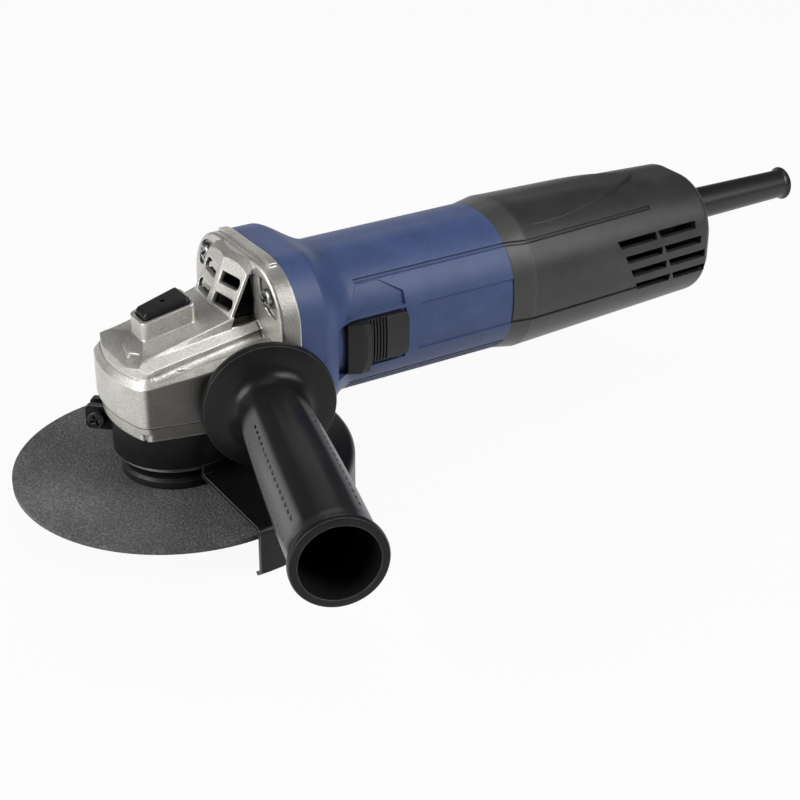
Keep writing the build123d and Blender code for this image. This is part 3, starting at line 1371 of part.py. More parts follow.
def cover_screw_places():
    """The rear cover's screws, as x and height."""
    return [
        (SEAM + SPIGOT_LENGTH + 2 * SCREW_BOSS_RADIUS, AXIS_Z - SCREW_DROP),
        (COVER_END - REAR_SCREW_INSET, AXIS_Z - SCREW_DROP),
        (COVER_END - TOP_SCREW_INSET, AXIS_Z + SCREW_DROP + 1),
    ]


def clamp_places():
    return [(CLAMP_X, SLEEVE_Z - CLAMP_REACH), (CLAMP_X, SLEEVE_Z + CLAMP_REACH)]


def cover_shell():
    """Both halves before they are split, with vents, creases and the sleeve's hole."""
    shell = cover_shape(0, COVER_END) + tongue()
    shell -= cover_shape(COVER_WALL, COVER_REAR_FACE)
    for rise, end in ((CREASE_RISE, CREASE_END), (-GROOVE_DROP, GROOVE_END)):
        strip = block(
            (SEAM - 1, end),
            (-BODY_WIDTH, BODY_WIDTH),
            (AXIS_Z + rise - CREASE_WIDTH / 2, AXIS_Z + rise + CREASE_WIDTH / 2),
        )
        shell -= strip - cover_shape(CREASE_DEPTH, COVER_END - CREASE_DEPTH)
    shell -= vent_slots()
    hole = SLEEVE_BASE_RADIUS + SLEEVE_GROOVE_PLAY
    return shell - rod_x(hole, 0, SLEEVE_Z, COVER_REAR_FACE - SLEEVE_COLLAR, COVER_END + SLEEVE_COLLAR)


def cover_half(side):
    """One half of the rear cover, with its bosses."""
    far = 2 * BODY_WIDTH
    near = COVER_SPLIT / 2
    space = block((0, 2 * COVER_END), tuple(sorted((side * near, side * far))), (-far, far * 2))
    core = cover_shape(COVER_WALL / 2, COVER_END - COVER_WALL / 2)
    half = cover_shell() & space
    for x, z in cover_screw_places():
        half += rod_y(SCREW_BOSS_RADIUS, x, z, side * near, side * far) & core
    return half


def make_rear_cover_left():
    half = cover_half(-1)
    core = cover_shape(COVER_WALL / 2, COVER_END - COVER_WALL / 2)
    for x, z in clamp_places():
        half += rod_y(SCREW_BOSS_RADIUS, x, z, SLEEVE_BORE, -2 * BODY_WIDTH) & core
        half -= rod_y(SCREW_RADIUS + FIT, x, z, SLEEVE_BORE + 1, -CLAMP_BITE - 1)
    for x, z in cover_screw_places():
        half -= rod_y(SCREW_RADIUS + FIT, x, z, 1, -SCREW_BITE - 1)
    return half


def make_rear_cover_right():
    half = cover_half(1)
    core = cover_shape(COVER_WALL / 2, COVER_END - COVER_WALL / 2)
    shelf = block(
        (SWITCH_START + 2, SWITCH_START + SWITCH_LENGTH - 2),
        (COVER_SPLIT / 2, BODY_WIDTH),
        (SHELF_TOP - SHELF, SHELF_TOP - FIT),
    )
    half += shelf & core
    for x, z in cover_screw_places():
        half -= rod_y(SCREW_RADIUS + SCREW_PLAY, x, z, -1, BODY_WIDTH)
        half -= rod_y(SCREW_HEAD_RADIUS + SCREW_PLAY, x, z, SCREW_SEAT, BODY_WIDTH)
    return half


def make_rear_cover_screws():
    screws = []
    for x, z in cover_screw_places():
        head = rod_y(SCREW_HEAD_RADIUS, x, z, SCREW_SEAT, SCREW_SEAT + SCREW_HEAD_HEIGHT)
        screws.append(head + rod_y(SCREW_RADIUS, x, z, SCREW_SEAT, -SCREW_BITE))
    return Compound(screws)


def make_cable_clamp():
    half = CLAMP_REACH + CLAMP_END
    low = SLEEVE_BORE + FIT
    bar = block(
        (CLAMP_X - CLAMP_WIDTH / 2, CLAMP_X + CLAMP_WIDTH / 2),
        (low, low + CLAMP_THICKNESS),
        (SLEEVE_Z - half, SLEEVE_Z + half),
    )
    for x, z in clamp_places():
        bar -= rod_y(SCREW_RADIUS + SCREW_PLAY, x, z, 0, 3 * low)
    return bar


def make_cable_clamp_screws():
    seat = SLEEVE_BORE + FIT + CLAMP_THICKNESS
    screws = []
    for x, z in clamp_places():
        head = rod_y(SCREW_HEAD_RADIUS, x, z, seat, seat + SCREW_HEAD_HEIGHT)
        screws.append(head + rod_y(SCREW_RADIUS, x, z, seat, -CLAMP_BITE))
    return Compound(screws)


def make_switch_unit():
    near = -ROD_FACE + ROD_THICKNESS + SWITCH_GAP
    body = block(
        (SWITCH_START, SWITCH_START + SWITCH_LENGTH),
        (near, near + SWITCH_DEPTH),
        (SHELF_TOP, SHELF_TOP + SWITCH_HEIGHT),
    )
    return chamfer(body.edges().filter_by(Axis.Y), SWITCH_EDGE)


def make_capacitor():
    middle = SWITCH_START + SWITCH_LENGTH / 2
    y = -ROD_FACE + ROD_THICKNESS + SWITCH_GAP + SWITCH_DEPTH + CAPACITOR_RADIUS + 3
    half = CAPACITOR_LENGTH / 2
    can = rod_x(CAPACITOR_RADIUS, y, SHELF_TOP + CAPACITOR_RADIUS, middle - half, middle + half)
    return fillet(can.edges().filter_by(GeomType.CIRCLE), 1.0)


def make_cable_sleeve():
    back = COVER_REAR_FACE
    neck = SLEEVE_END - SLEEVE_LIP
    outline = Polyline(
        (SLEEVE_TIP_RADIUS, 0, neck),
        (SLEEVE_BASE_RADIUS, 0, COVER_END + 2),
        (SLEEVE_BASE_RADIUS, 0, back - FIT),
        (SLEEVE_COLLAR_RADIUS, 0, back - FIT),
        (SLEEVE_COLLAR_RADIUS, 0, back - SLEEVE_COLLAR),
        (SLEEVE_BORE, 0, back - SLEEVE_COLLAR),
        (SLEEVE_BORE, 0, SLEEVE_END),
        (SLEEVE_LIP_RADIUS - SLEEVE_EDGE, 0, SLEEVE_END),
        (SLEEVE_LIP_RADIUS, 0, SLEEVE_END - SLEEVE_EDGE),
    )
    flare = SLEEVE_LIP_RADIUS - SLEEVE_TIP_RADIUS
    bend = (SLEEVE_TIP_RADIUS + flare / 4, 0, neck + SLEEVE_LIP / 2)
    lip = (SLEEVE_LIP_RADIUS, 0, SLEEVE_END - SLEEVE_EDGE)
    outline += ThreePointArc(lip, bend, (SLEEVE_TIP_RADIUS, 0, neck))
    return Pos(0, 0, SLEEVE_Z) * Rot(0, 90, 0) * revolve(make_face(outline), Axis.Z)


# Side handle
def make_side_handle():
    start, end = 0, HANDLE_LENGTH
    rim, ring_top = GUARD_RING_RADIUS, GUARD_RING
    dish = (NECK_RADIUS + GUARD_RING_SWEEP, ring_top + GUARD_RING_DISH)
    neck = dish[1] + GUARD_RING_SWEEP
    swell = end / 2
    lip = end - LIP_LENGTH
    bend = GUARD_RING_SWEEP * (1 - cos(pi / 4))
    sweep_mid = (NECK_RADIUS + bend, 0, dish[1] + bend)
    outline = Polyline(
        (0, 0, start),
        (rim - 1, 0, start),
        (rim, 0, start + 1),
        (rim, 0, ring_top - 1),
        (rim - 1, 0, ring_top),
        (dish[0], 0, dish[1]),
    )
    outline += ThreePointArc((dish[0], 0, dish[1]), sweep_mid, (NECK_RADIUS, 0, neck))
    outline += ThreePointArc((NECK_RADIUS, 0, neck), (GRIP_RADIUS, 0, swell), (GRIP_END_RADIUS, 0, lip))
    outline += Polyline(
        (GRIP_END_RADIUS, 0, lip),
        (LIP_RADIUS, 0, end - LIP_LENGTH / 2),
        (LIP_RADIUS, 0, end - 1),
        (LIP_RADIUS - 1, 0, end),
        (HANDLE_BORE, 0, end),
        (HANDLE_BORE - HANDLE_BORE_DRAFT, 0, end - HANDLE_BORE_DEPTH),
        (0, 0, end - HANDLE_BORE_DEPTH),
        (0, 0, start),
    )
    grip = revolve(make_face(outline), Axis.Z)
    grip -= ring(STUD_RADIUS + FIT, 0, 0, STUD_GRIP)
    grip -= Pos(0, 0, STUD_GRIP) * extrude(RegularPolygon(STUD_HEAD_RADIUS + FIT, 6), STUD_HEAD + FIT)
    return handle_axis(-1) * grip


def make_handle_stud():
    stud = ring(STUD_RADIUS, 0, 1 - SOCKET_DEPTH, STUD_GRIP)
    stud += Pos(0, 0, STUD_GRIP) * extrude(RegularPolygon(STUD_HEAD_RADIUS, 6), STUD_HEAD)
    return handle_axis(-1) * stud


# Guard and its clamp
BAND_INNER = COLLAR_RADIUS + BAND_PLAY
BAND_OUTER = BAND_INNER + BAND_SHEET
BAND_TOP = PLATE_BOTTOM - LAYER
BAND_LOW = BAND_TOP - BAND_HEIGHT
LUG_LOW = BAND_TOP - LUG_HEIGHT
PLATE_LOW = FLANGE_TOP + GUARD_CLEARANCE


def make_guard_shroud():
    sheet, radius = GUARD_SHEET, GUARD_RADIUS
    top = PLATE_LOW + sheet
    low = top - GUARD_SKIRT
    inner = COLLAR_LIP_RADIUS + BAND_PLAY
    outline = Polyline(
        (inner, 0, BAND_LOW),
        (inner, 0, PLATE_LOW),
        (radius - sheet, 0, PLATE_LOW),
        (radius - sheet, 0, low + GUARD_LIP),
        (radius - sheet - GUARD_LIP, 0, low + GUARD_LIP / 3),
        (radius - GUARD_LIP, 0, low),
        (radius, 0, low + 3 * GUARD_LIP / 4),
        (radius, 0, top),
        (inner + sheet, 0, top),
        (inner + sheet, 0, BAND_LOW),
        close=True,
    )
    face = make_face(outline)
    outer_corner = face.vertices().sort_by_distance((radius, 0, top))[0]
    face = fillet(outer_corner, GUARD_ROUND)
    inner_corner = face.vertices().sort_by_distance((radius - sheet, 0, PLATE_LOW))[0]
    face = fillet(inner_corner, GUARD_ROUND - sheet)
    return Rot(0, 0, -GUARD_SPAN / 2) * revolve(face, Axis.Z, revolution_arc=GUARD_SPAN)


def clamp_place(shape):
    return Rot(0, 0, CLAMP_ANGLE) * shape


def make_guard_clamp_band():
    band = ring(BAND_OUTER, BAND_INNER, BAND_LOW, BAND_TOP)
    half = BAND_SPLIT / 2
    band -= clamp_place(block((0, 2 * BAND_OUTER), (-half, half), (0, 2 * BAND_TOP)))
    for side in (-1, 1):
        faces = tuple(sorted((side * half, side * (half + LUG_SHEET))))
        lug = block((BAND_INNER + 0.5, BAND_OUTER + LUG_REACH), faces, (LUG_LOW, BAND_TOP))
        lug = fillet(lug.edges().filter_by(Axis.Y).group_by(Axis.X)[-1], LUG_ROUND)
        band += clamp_place(lug)
    hole = rod_y(CLAMP_SCREW_RADIUS + SCREW_PLAY, screw_x(), screw_z(), -BAND_INNER, BAND_INNER)
    return band - clamp_place(hole)


def screw_x():
    return BAND_OUTER + LUG_REACH / 2


def screw_z():
    return (LUG_LOW + BAND_TOP) / 2


def make_guard_clamp_screw():
    seat = BAND_SPLIT / 2 + LUG_SHEET
    head = rod_y(CLAMP_HEAD_RADIUS, screw_x(), screw_z(), seat, seat + CLAMP_HEAD)
    head = fillet(head.edges().group_by(Axis.Y)[-1], CLAMP_HEAD / 3)
    shank = rod_y(CLAMP_SCREW_RADIUS, screw_x(), screw_z(), seat, -seat - CLAMP_NUT - 1)
    return clamp_place(head + shank)


def make_guard_clamp_nut():
    seat = BAND_SPLIT / 2 + LUG_SHEET
    nut = extrude(RegularPolygon(CLAMP_NUT_RADIUS, 6), CLAMP_NUT)
    nut -= ring(CLAMP_SCREW_RADIUS + FIT, 0, -1, CLAMP_NUT + 1)
    return clamp_place(Pos(screw_x(), -seat, screw_z()) * Rot(90, 0, 0) * nut)


def make_bearings():
    """The three ball bearings, each as an outer race, an inner race and its balls."""
    spindle = ball_bearing(SPINDLE_BEARING_RADIUS, SPINDLE_SEAT_RADIUS + FIT, SPINDLE_BEARING_WIDTH)
    front = ball_bearing(FRONT_BEARING_RADIUS, SHAFT_BEARING_RADIUS + FIT, FRONT_BEARING_WIDTH)
    rear = ball_bearing(REAR_BEARING_RADIUS, SHAFT_REAR_RADIUS + FIT, REAR_BEARING_WIDTH)
    places = {
        "spindle_bearing": [Pos(0, 0, BEARING_BOTTOM) * piece for piece in spindle],
        "front_bearing": [on_motor(Pos(0, 0, FRONT_BEARING_START) * piece) for piece in front],
        "rear_bearing": [on_motor(Pos(0, 0, REAR_BEARING_START) * piece) for piece in rear],
    }
    names = ("outer_race", "inner_race", "balls")
    return {f"{b}_{n}": piece for b, pieces in places.items() for n, piece in zip(names, pieces)}


def make_drive_key():
    return Rot(0, 0, KEY_ANGLE) * key_shape(0)


MAKERS = (
    make_gear_housing,
    make_gear_housing_screws,
    make_bearing_cover,
    make_bearing_cover_screws,
    make_dust_seal,
    make_retaining_ring,
    make_top_bush,
    make_spindle,
    make_spindle_spacer,
    make_drive_key,
    make_bevel_wheel,
    make_inner_flange,
    make_cutting_disc,
    make_disc_bore_ring,
    make_flange_nut,
    make_lock_button,
    make_lock_pin,
    make_lock_spring,
    make_guard_shroud,
    make_guard_clamp_band,
    make_guard_clamp_screw,
    make_guard_clamp_nut,
    make_side_handle,
    make_handle_stud,
    make_motor_housing,
    make_air_baffle,
    make_stator_core,
    make_stator_coils,
    make_stator_screws,
    make_armature_shaft,
    make_armature_core,
    make_armature_windings,
    make_commutator,
    make_cooling_fan,
    make_pinion,
    make_pinion_nut,
    make_front_bearing_retainer,
    make_rear_bearing_boot,
    make_brush_holders,
    make_carbon_brushes,
    make_brush_springs,
    make_switch_slider,
    make_switch_rod,
    make_switch_unit,
    make_capacitor,
    make_rear_cover_left,
    make_rear_cover_right,
    make_rear_cover_screws,
    make_cable_clamp,
    make_cable_clamp_screws,
    make_cable_sleeve,
)


def main():
    os.makedirs("parts", exist_ok=True)
    pieces = {maker.__name__.removeprefix("make_"): maker() for maker in MAKERS}
    pieces.update(make_bearings())
    for name, shape in pieces.items():
        export_step(shape, f"parts/{name}.step")


if __name__ == "__main__":
    main()
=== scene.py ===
import json
from math import atan2, cos, degrees, hypot, pi, radians, sin

import bmesh
import bpy
from mathutils import Matrix, Vector


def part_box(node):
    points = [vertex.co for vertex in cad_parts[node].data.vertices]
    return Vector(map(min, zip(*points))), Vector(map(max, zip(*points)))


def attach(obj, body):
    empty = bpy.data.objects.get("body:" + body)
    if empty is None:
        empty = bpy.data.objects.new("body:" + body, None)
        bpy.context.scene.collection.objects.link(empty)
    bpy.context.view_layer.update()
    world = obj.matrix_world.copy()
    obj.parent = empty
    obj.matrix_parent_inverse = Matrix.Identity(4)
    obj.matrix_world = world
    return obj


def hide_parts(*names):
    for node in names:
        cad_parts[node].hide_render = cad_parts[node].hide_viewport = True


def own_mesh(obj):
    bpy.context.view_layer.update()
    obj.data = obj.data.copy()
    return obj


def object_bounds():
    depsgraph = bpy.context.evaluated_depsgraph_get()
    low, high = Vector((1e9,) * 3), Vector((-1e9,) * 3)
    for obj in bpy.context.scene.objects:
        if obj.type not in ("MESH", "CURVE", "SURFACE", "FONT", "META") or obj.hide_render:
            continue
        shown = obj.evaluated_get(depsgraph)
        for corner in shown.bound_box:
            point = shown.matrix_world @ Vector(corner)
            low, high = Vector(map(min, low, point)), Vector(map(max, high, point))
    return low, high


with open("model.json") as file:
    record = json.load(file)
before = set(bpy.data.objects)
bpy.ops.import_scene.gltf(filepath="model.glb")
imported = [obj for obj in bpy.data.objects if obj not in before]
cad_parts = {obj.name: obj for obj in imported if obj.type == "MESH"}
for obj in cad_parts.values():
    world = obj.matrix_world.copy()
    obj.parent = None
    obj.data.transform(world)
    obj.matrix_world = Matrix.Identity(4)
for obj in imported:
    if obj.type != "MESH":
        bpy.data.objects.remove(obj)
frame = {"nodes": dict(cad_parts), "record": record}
nodes = frame["nodes"]
cad_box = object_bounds()
scene = bpy.context.scene
scene.view_settings.view_transform = "Standard"


# Camera
CAMERA_PLACE = Vector((-0.235125, -0.537431, 0.344320))
CAMERA_AZIMUTH = radians(-32.07)
CAMERA_ELEVATION = radians(28.00)
CAMERA_ROLL = radians(0.36)
CAMERA_LENS = 78.03
CAMERA_SENSOR = 36.0
CAMERA_REACH = 100


def place_camera():
    """The camera, from its place, its bearing, its angle of height and its roll."""
    back = Vector(
        (
            sin(CAMERA_AZIMUTH) * cos(CAMERA_ELEVATION),
            -cos(CAMERA_AZIMUTH) * cos(CAMERA_ELEVATION),
            sin(CAMERA_ELEVATION),
        )
    )
    level = Vector((0, 0, 1)).cross(back).normalized()
    upright = back.cross(level)
    across = level * cos(CAMERA_ROLL) + upright * sin(CAMERA_ROLL)
    up = upright * cos(CAMERA_ROLL) - level * sin(CAMERA_ROLL)
    data = bpy.data.cameras.new("camera")
    data.lens = CAMERA_LENS
    data.sensor_width = CAMERA_SENSOR
    data.sensor_fit = "HORIZONTAL"
    data.clip_end = CAMERA_REACH
    camera = bpy.data.objects.new("camera", data)
    turn = Matrix((across, up, back)).transposed().to_4x4()
    camera.matrix_world = Matrix.Translation(CAMERA_PLACE) @ turn
    scene.collection.objects.link(camera)
    scene.camera = camera


# Materials
GRIT_SCALE = 1100.0
SHEET_SCALE = 320.0
BEVEL_SAMPLES = 6
OPEN_SAMPLES = 8
EDGE_FLAT = 0.995
EDGE_SHARP = 0.86


class Value:
    """A socket of a material's nodes, which takes part in plain sums."""

    def __init__(self, look, socket):
        self.look = look
        self.socket = socket

    def sum(self, operation, first, second):
        return self.look.node("ShaderNodeMath", {"operation": operation}, {0: first, 1: second})

    def __add__(self, other):
        return self.sum("ADD", self, other)

    def __radd__(self, other):
        return self.sum("ADD", other, self)

    def __sub__(self, other):
        return self.sum("SUBTRACT", self, other)

    def __rsub__(self, other):
        return self.sum("SUBTRACT", other, self)

    def __mul__(self, other):
        return self.sum("MULTIPLY", self, other)

    def __rmul__(self, other):
        return self.sum("MULTIPLY", other, self)

    def __lt__(self, other):
        return self.sum("LESS_THAN", self, other)

    def __gt__(self, other):
        return self.sum("GREATER_THAN", self, other)

    def __abs__(self):
        return self.sum("ABSOLUTE", self, 0)


class Web:
    """The nodes of a material or of the world."""

    def __init__(self, tree):
        self.tree = tree

    def node(self, kind, settings=None, inputs=None, output=0):
        """Adds a node: its settings first, then the values or links of its sockets."""
        made = self.tree.nodes.new(kind)
        for name, setting in (settings or {}).items():
            if name == "stops":
                fill_ramp(made.color_ramp, setting)
            else:
                setattr(made, name, setting)
        for key, value in (inputs or {}).items():
            self.feed(made.inputs[key], value)
        return Value(self, made.outputs[output])

    def feed(self, socket, value):
        if isinstance(value, Value):
            self.tree.links.new(value.socket, socket)
        else:
            socket.default_value = value

    def split(self, where):
        """A point's three coordinates."""
        return [self.node("ShaderNodeSeparateXYZ", None, {0: where}, axis) for axis in range(3)]

    def vector(self, operation, first, second, output=0):
        """A sum of two vectors."""
        return self.node("ShaderNodeVectorMath", {"operation": operation}, {0: first, 1: second}, output)

    def step(self, value, low, high):
        """A smooth step from 0 to 1 between two values."""
        sockets = {"Value": value, "From Min": low, "From Max": high}
        return self.node("ShaderNodeMapRange", {"interpolation_type": "SMOOTHSTEP"}, sockets)


class Look(Web):
    """One finish: a material with a Principled shader and the nodes that feed it."""

    def __init__(self, name):
        self.material = bpy.data.materials.new(name)
        self.material.use_nodes = True
        super().__init__(self.material.node_tree)
        self.shader = self.tree.nodes["Principled BSDF"]

    def set(self, **sockets):
        """Feeds the shader's sockets, named in lower case."""
        for name, value in sockets.items():
            title = name.replace("_", " ").title().replace("Ior", "IOR")
            self.feed(self.shader.inputs[title], value)

    def place(self):
        """The piece's own coordinates, in metres."""
        return self.node("ShaderNodeTexCoord", output="Object")

    def axis(self, origin, along):
        """How far a point lies along an axis, and how far from it."""
        reach = self.vector("SUBTRACT", self.place(), origin)
        length = self.vector("DOT_PRODUCT", reach, along, "Value")
        square = self.vector("CROSS_PRODUCT", reach, along)
        return length, self.node("ShaderNodeVectorMath", {"operation": "LENGTH"}, {0: square}, "Value")

    def noise(self, size, detail, roughness=0.5):
        """Cloudy noise whose patches are about a size across, in metres, from 0 to 1."""
        sockets = {"Vector": self.place(), "Scale": 1 / size, "Detail": detail, "Roughness": roughness}
        return self.node("ShaderNodeTexNoise", None, sockets)

    def ramp(self, value, *stops):
        """A value put through colour stops."""
        return self.node("ShaderNodeValToRGB", {"stops": stops}, {0: value})

    def mix(self, share, first, second):
        """Two colours, mixed."""
        settings = {"data_type": "RGBA"}
        return self.node("ShaderNodeMix", settings, {0: share, 6: first, 7: second}, 2)

    def rounded(self, radius):
        """The surface's normal, with its edges rounded to a radius."""
        return self.node("ShaderNodeBevel", {"samples": BEVEL_SAMPLES}, {"Radius": radius})

    def edges(self, radius):
        """How far a point lies from flat, from 0 on a face to 1 on a sharp edge."""
        soft = self.rounded(radius)
        flat = self.node("ShaderNodeNewGeometry", output="Normal")
        alike = self.vector("DOT_PRODUCT", soft, flat, "Value")
        return self.step(alike, EDGE_FLAT, EDGE_SHARP)

    def open(self, reach):
        """How open the space in front of a point is, from 0 deep in a recess to 1 on a free face. The
        cast aluminium uses it to paint shade into recesses.
        """
        settings = {"samples": OPEN_SAMPLES, "only_local": True}
        return self.node("ShaderNodeAmbientOcclusion", settings, {"Distance": reach}, "AO")

    def bump(self, height, depth, strength, rounding=0.0):
        """Feeds the shader's normal from a height; depth is the height of 1, in metres."""
        sockets = {"Height": height, "Distance": depth, "Strength": strength}
        if rounding:
            sockets["Normal"] = self.rounded(rounding)
        self.set(normal=self.node("ShaderNodeBump", None, sockets))


def fill_ramp(ramp, stops):
    while len(ramp.elements) < len(stops):
        ramp.elements.new(1.0)
    for element, (position, colour) in zip(ramp.elements, stops):
        element.position = position
        element.color = (*colour, 1.0)


def grey(level):
    return (level, level, level)


# The side handle: its axis out of the gear housing's boss, its bore and its neck. Each of its two
# panels, painted paler as painted light on the grip's sides, lies between two rows of dimples, given as
# angles round the axis in degrees.
HANDLE_ORIGIN = Vector((0.0213, -0.0373, 0.0453))
HANDLE_TILT = radians(16.4)
HANDLE_OUT = Vector((-sin(HANDLE_TILT), -cos(HANDLE_TILT), 0))
HANDLE_BORE = 0.0134
GRIP_NECK = 0.013
PANELS = ((52.5, 82.5), (-72.5, -42.5))
PANEL_OUTER = 16
PANEL_INNER = 5
PANEL_FOOT = (0.016, 0.026)
PANEL_END = (0.106, 0.098)
BORE_START = 0.03
BORE_MARGIN = 0.0001
GRIP_MARGIN = 0.0002

# The gear housing: its joint with the bearing cover, its flange and where the shade painted on its side
# walls ends
JOINT_HEIGHT = 0.0385
JOINT_WIDTH = (0.0004, 0.00015)
FLANGE_START = 0.0275
SIDE_SHADE_TOP = (0.0595, 0.0560)

# The rear cover: its joint with the barrel, and the end of the paler band behind it
SEAM = 0.1361
BAND_END = (SEAM + 0.0105, SEAM + 0.0098)

# The vent tower: its face at the foot and at the roof's front edge, how these lean, and its duct, which
# is painted in shade
TOWER_FOOT = Vector((0.0170, 0, 0.0730))
TOWER_LEAN = 0.45
TOWER_SWEEP = 0.15
TOWER_INSIDE = 0.0139
ROOF_EDGE = Vector((0.0241, 0, 0.0888))
ROOF_SLOPE = 0.7
ROOF_CURVE = 10.4
ROOF_WALL = 0.0013
DUCT_FLOOR = 0.069
DUCT_TOP = 0.086
FLANGE_FACE = 0.029
TOWER_SKIN = (0.0010, 0.0022)


def duct_shade_mask(look):
    """Where the air duct's inner walls lie, behind the tower's windows: painted shade makes them near
    black.
    """
    behind, across, height = look.split(look.place())
    depth = behind - TOWER_FOOT.x - TOWER_LEAN * (height - TOWER_FOOT.z) - TOWER_SWEEP * abs(across)
    under = ROOF_EDGE.z + ROOF_SLOPE * (behind - ROOF_EDGE.x) - ROOF_CURVE * across * across - height
    inside = (under > ROOF_WALL) * (abs(across) < TOWER_INSIDE) * (height > DUCT_FLOOR)
    rear = 1 - (behind > FLANGE_FACE) * (height > DUCT_TOP)
    return look.step(depth, *TOWER_SKIN) * inside * rear


def cast_aluminium():
    look = Look("cast_aluminium")
    stains = look.noise(0.016, 4, 0.62)
    grain = look.noise(0.0006, 2, 0.65)
    wear_and_glint = look.edges(0.0012)
    behind, _, height = look.split(look.place())
    joint = look.step(abs(height - JOINT_HEIGHT), *JOINT_WIDTH)
    sideways = abs(look.split(look.node("ShaderNodeNewGeometry", output="Normal"))[1])
    # Painted shade: the side walls that face sideways below the shoulders, and the flange's rim, are
    # darkened as if out of the light
    side_wall_shade = look.step(sideways, 0.72, 0.92) * look.step(height, *SIDE_SHADE_TOP) * (behind < FLANGE_START)
    rim = (behind > FLANGE_START) * look.step(sideways, 0.30, 0.60)
    hollow_shade = look.step(look.open(0.016), 0.56, 0.24)
    duct = duct_shade_mask(look)
    tone = stains * 0.4 + grain * 0.6
    colour = look.ramp(tone, (0.34, (0.40, 0.386, 0.356)), (0.66, (0.73, 0.713, 0.670)))
    # The painted shade on the side walls and the flange's rim, a little uneven with the stains
    shade = (side_wall_shade + rim * 0.72) * (0.76 + 0.2 * stains)
    colour = look.mix(shade, colour, (0.040, 0.037, 0.033, 1))
    # Edges lightened: partly rubbed wear, partly a painted glint
    colour = look.mix(wear_and_glint * 0.8, colour, (0.88, 0.87, 0.84, 1))
    # Painted shade: recesses are painted almost black
    colour = look.mix(hollow_shade * 0.92, colour, (0.012, 0.011, 0.010, 1))
    # Painted shade: the duct behind the tower's windows is painted near black
    colour = look.mix(duct * 0.96, colour, (0.010, 0.009, 0.008, 1))
    colour = look.mix(joint * 0.85, colour, (0.03, 0.028, 0.025, 1))
    look.set(base_color=colour, metallic=0.85)
    look.set(roughness=0.40 - 0.10 * wear_and_glint + 0.14 * (stains - 0.5) + 0.3 * hollow_shade)
    look.bump(grain + stains * 0.5, 0.00022, 0.6, 0.0007)
    return look.material


def plated_steel():
    look = Look("plated_steel")
    smear = look.noise(0.003, 3)
    look.set(base_color=look.ramp(smear, (0.3, grey(0.24)), (0.7, grey(0.42))), metallic=1.0)
    look.set(roughness=0.24 + 0.16 * smear)
    look.bump(smear, 0.0001, 0.4, 0.0003)
    return look.material


def ground_steel():
    look = Look("ground_steel")
    smear = look.noise(0.002, 3)
    look.set(base_color=look.ramp(smear, (0.3, grey(0.42)), (0.7, grey(0.58))), metallic=1.0)
    look.set(roughness=0.28 + 0.14 * smear)
    return look.material


def black_steel():
    look = Look("black_steel")
    smear = look.noise(0.004, 4)
    wear_and_glint = look.edges(0.0005)
    colour = look.ramp(smear, (0.3, grey(0.006)), (0.7, grey(0.014)))
    # Edges lightened: partly wear, partly a painted glint
    look.set(base_color=look.mix(wear_and_glint * 0.35, colour, (0.24, 0.24, 0.24, 1)))
    look.set(roughness=0.34 + 0.16 * smear, specular_ior_level=0.35)
    look.bump(smear, 0.0001, 0.5, 0.0004)
    return look.material


def moulded_nylon(name, low, high, roughness, grain_depth=0.00012, shine=0.35):
    """Glass-filled plastic with a fine spark-eroded grain."""
    look = Look(name)
    grain = look.noise(0.00045, 2, 0.6)
    cloud = look.noise(0.012, 3)
    look.set(base_color=look.ramp(grain * 0.6 + cloud * 0.4, (0.36, low), (0.66, high)))
    look.set(roughness=roughness + 0.12 * (grain - 0.5), specular_ior_level=shine)
    look.bump(grain, grain_depth, 0.6, 0.0004)
    return look


def blue_nylon():
    low = (0.039, 0.059, 0.148)
    high = (0.062, 0.093, 0.216)
    return moulded_nylon("blue_nylon", low, high, 0.42, shine=0.3).material


def cover_nylon():
    look = Look("cover_nylon")
    grain = look.noise(0.00045, 2, 0.6)
    cloud = look.noise(0.012, 3)
    behind = look.split(look.place())[0]
    band = look.step(behind, *BAND_END)
    colour = look.ramp(grain * 0.65 + cloud * 0.35, (0.34, grey(0.018)), (0.68, grey(0.043)))
    look.set(base_color=look.mix(band * 0.5, colour, (0.058, 0.058, 0.058, 1)))
    look.set(roughness=0.36 + 0.12 * (grain - 0.5), specular_ior_level=0.4)
    look.bump(grain, 0.00013, 0.6, 0.0004)
    return look.material


def slider_plastic():
    return moulded_nylon("slider_plastic", grey(0.010), grey(0.016), 0.40, 0.00005).material


def button_plastic():
    return moulded_nylon("button_plastic", grey(0.004), grey(0.007), 0.32, 0.00003).material


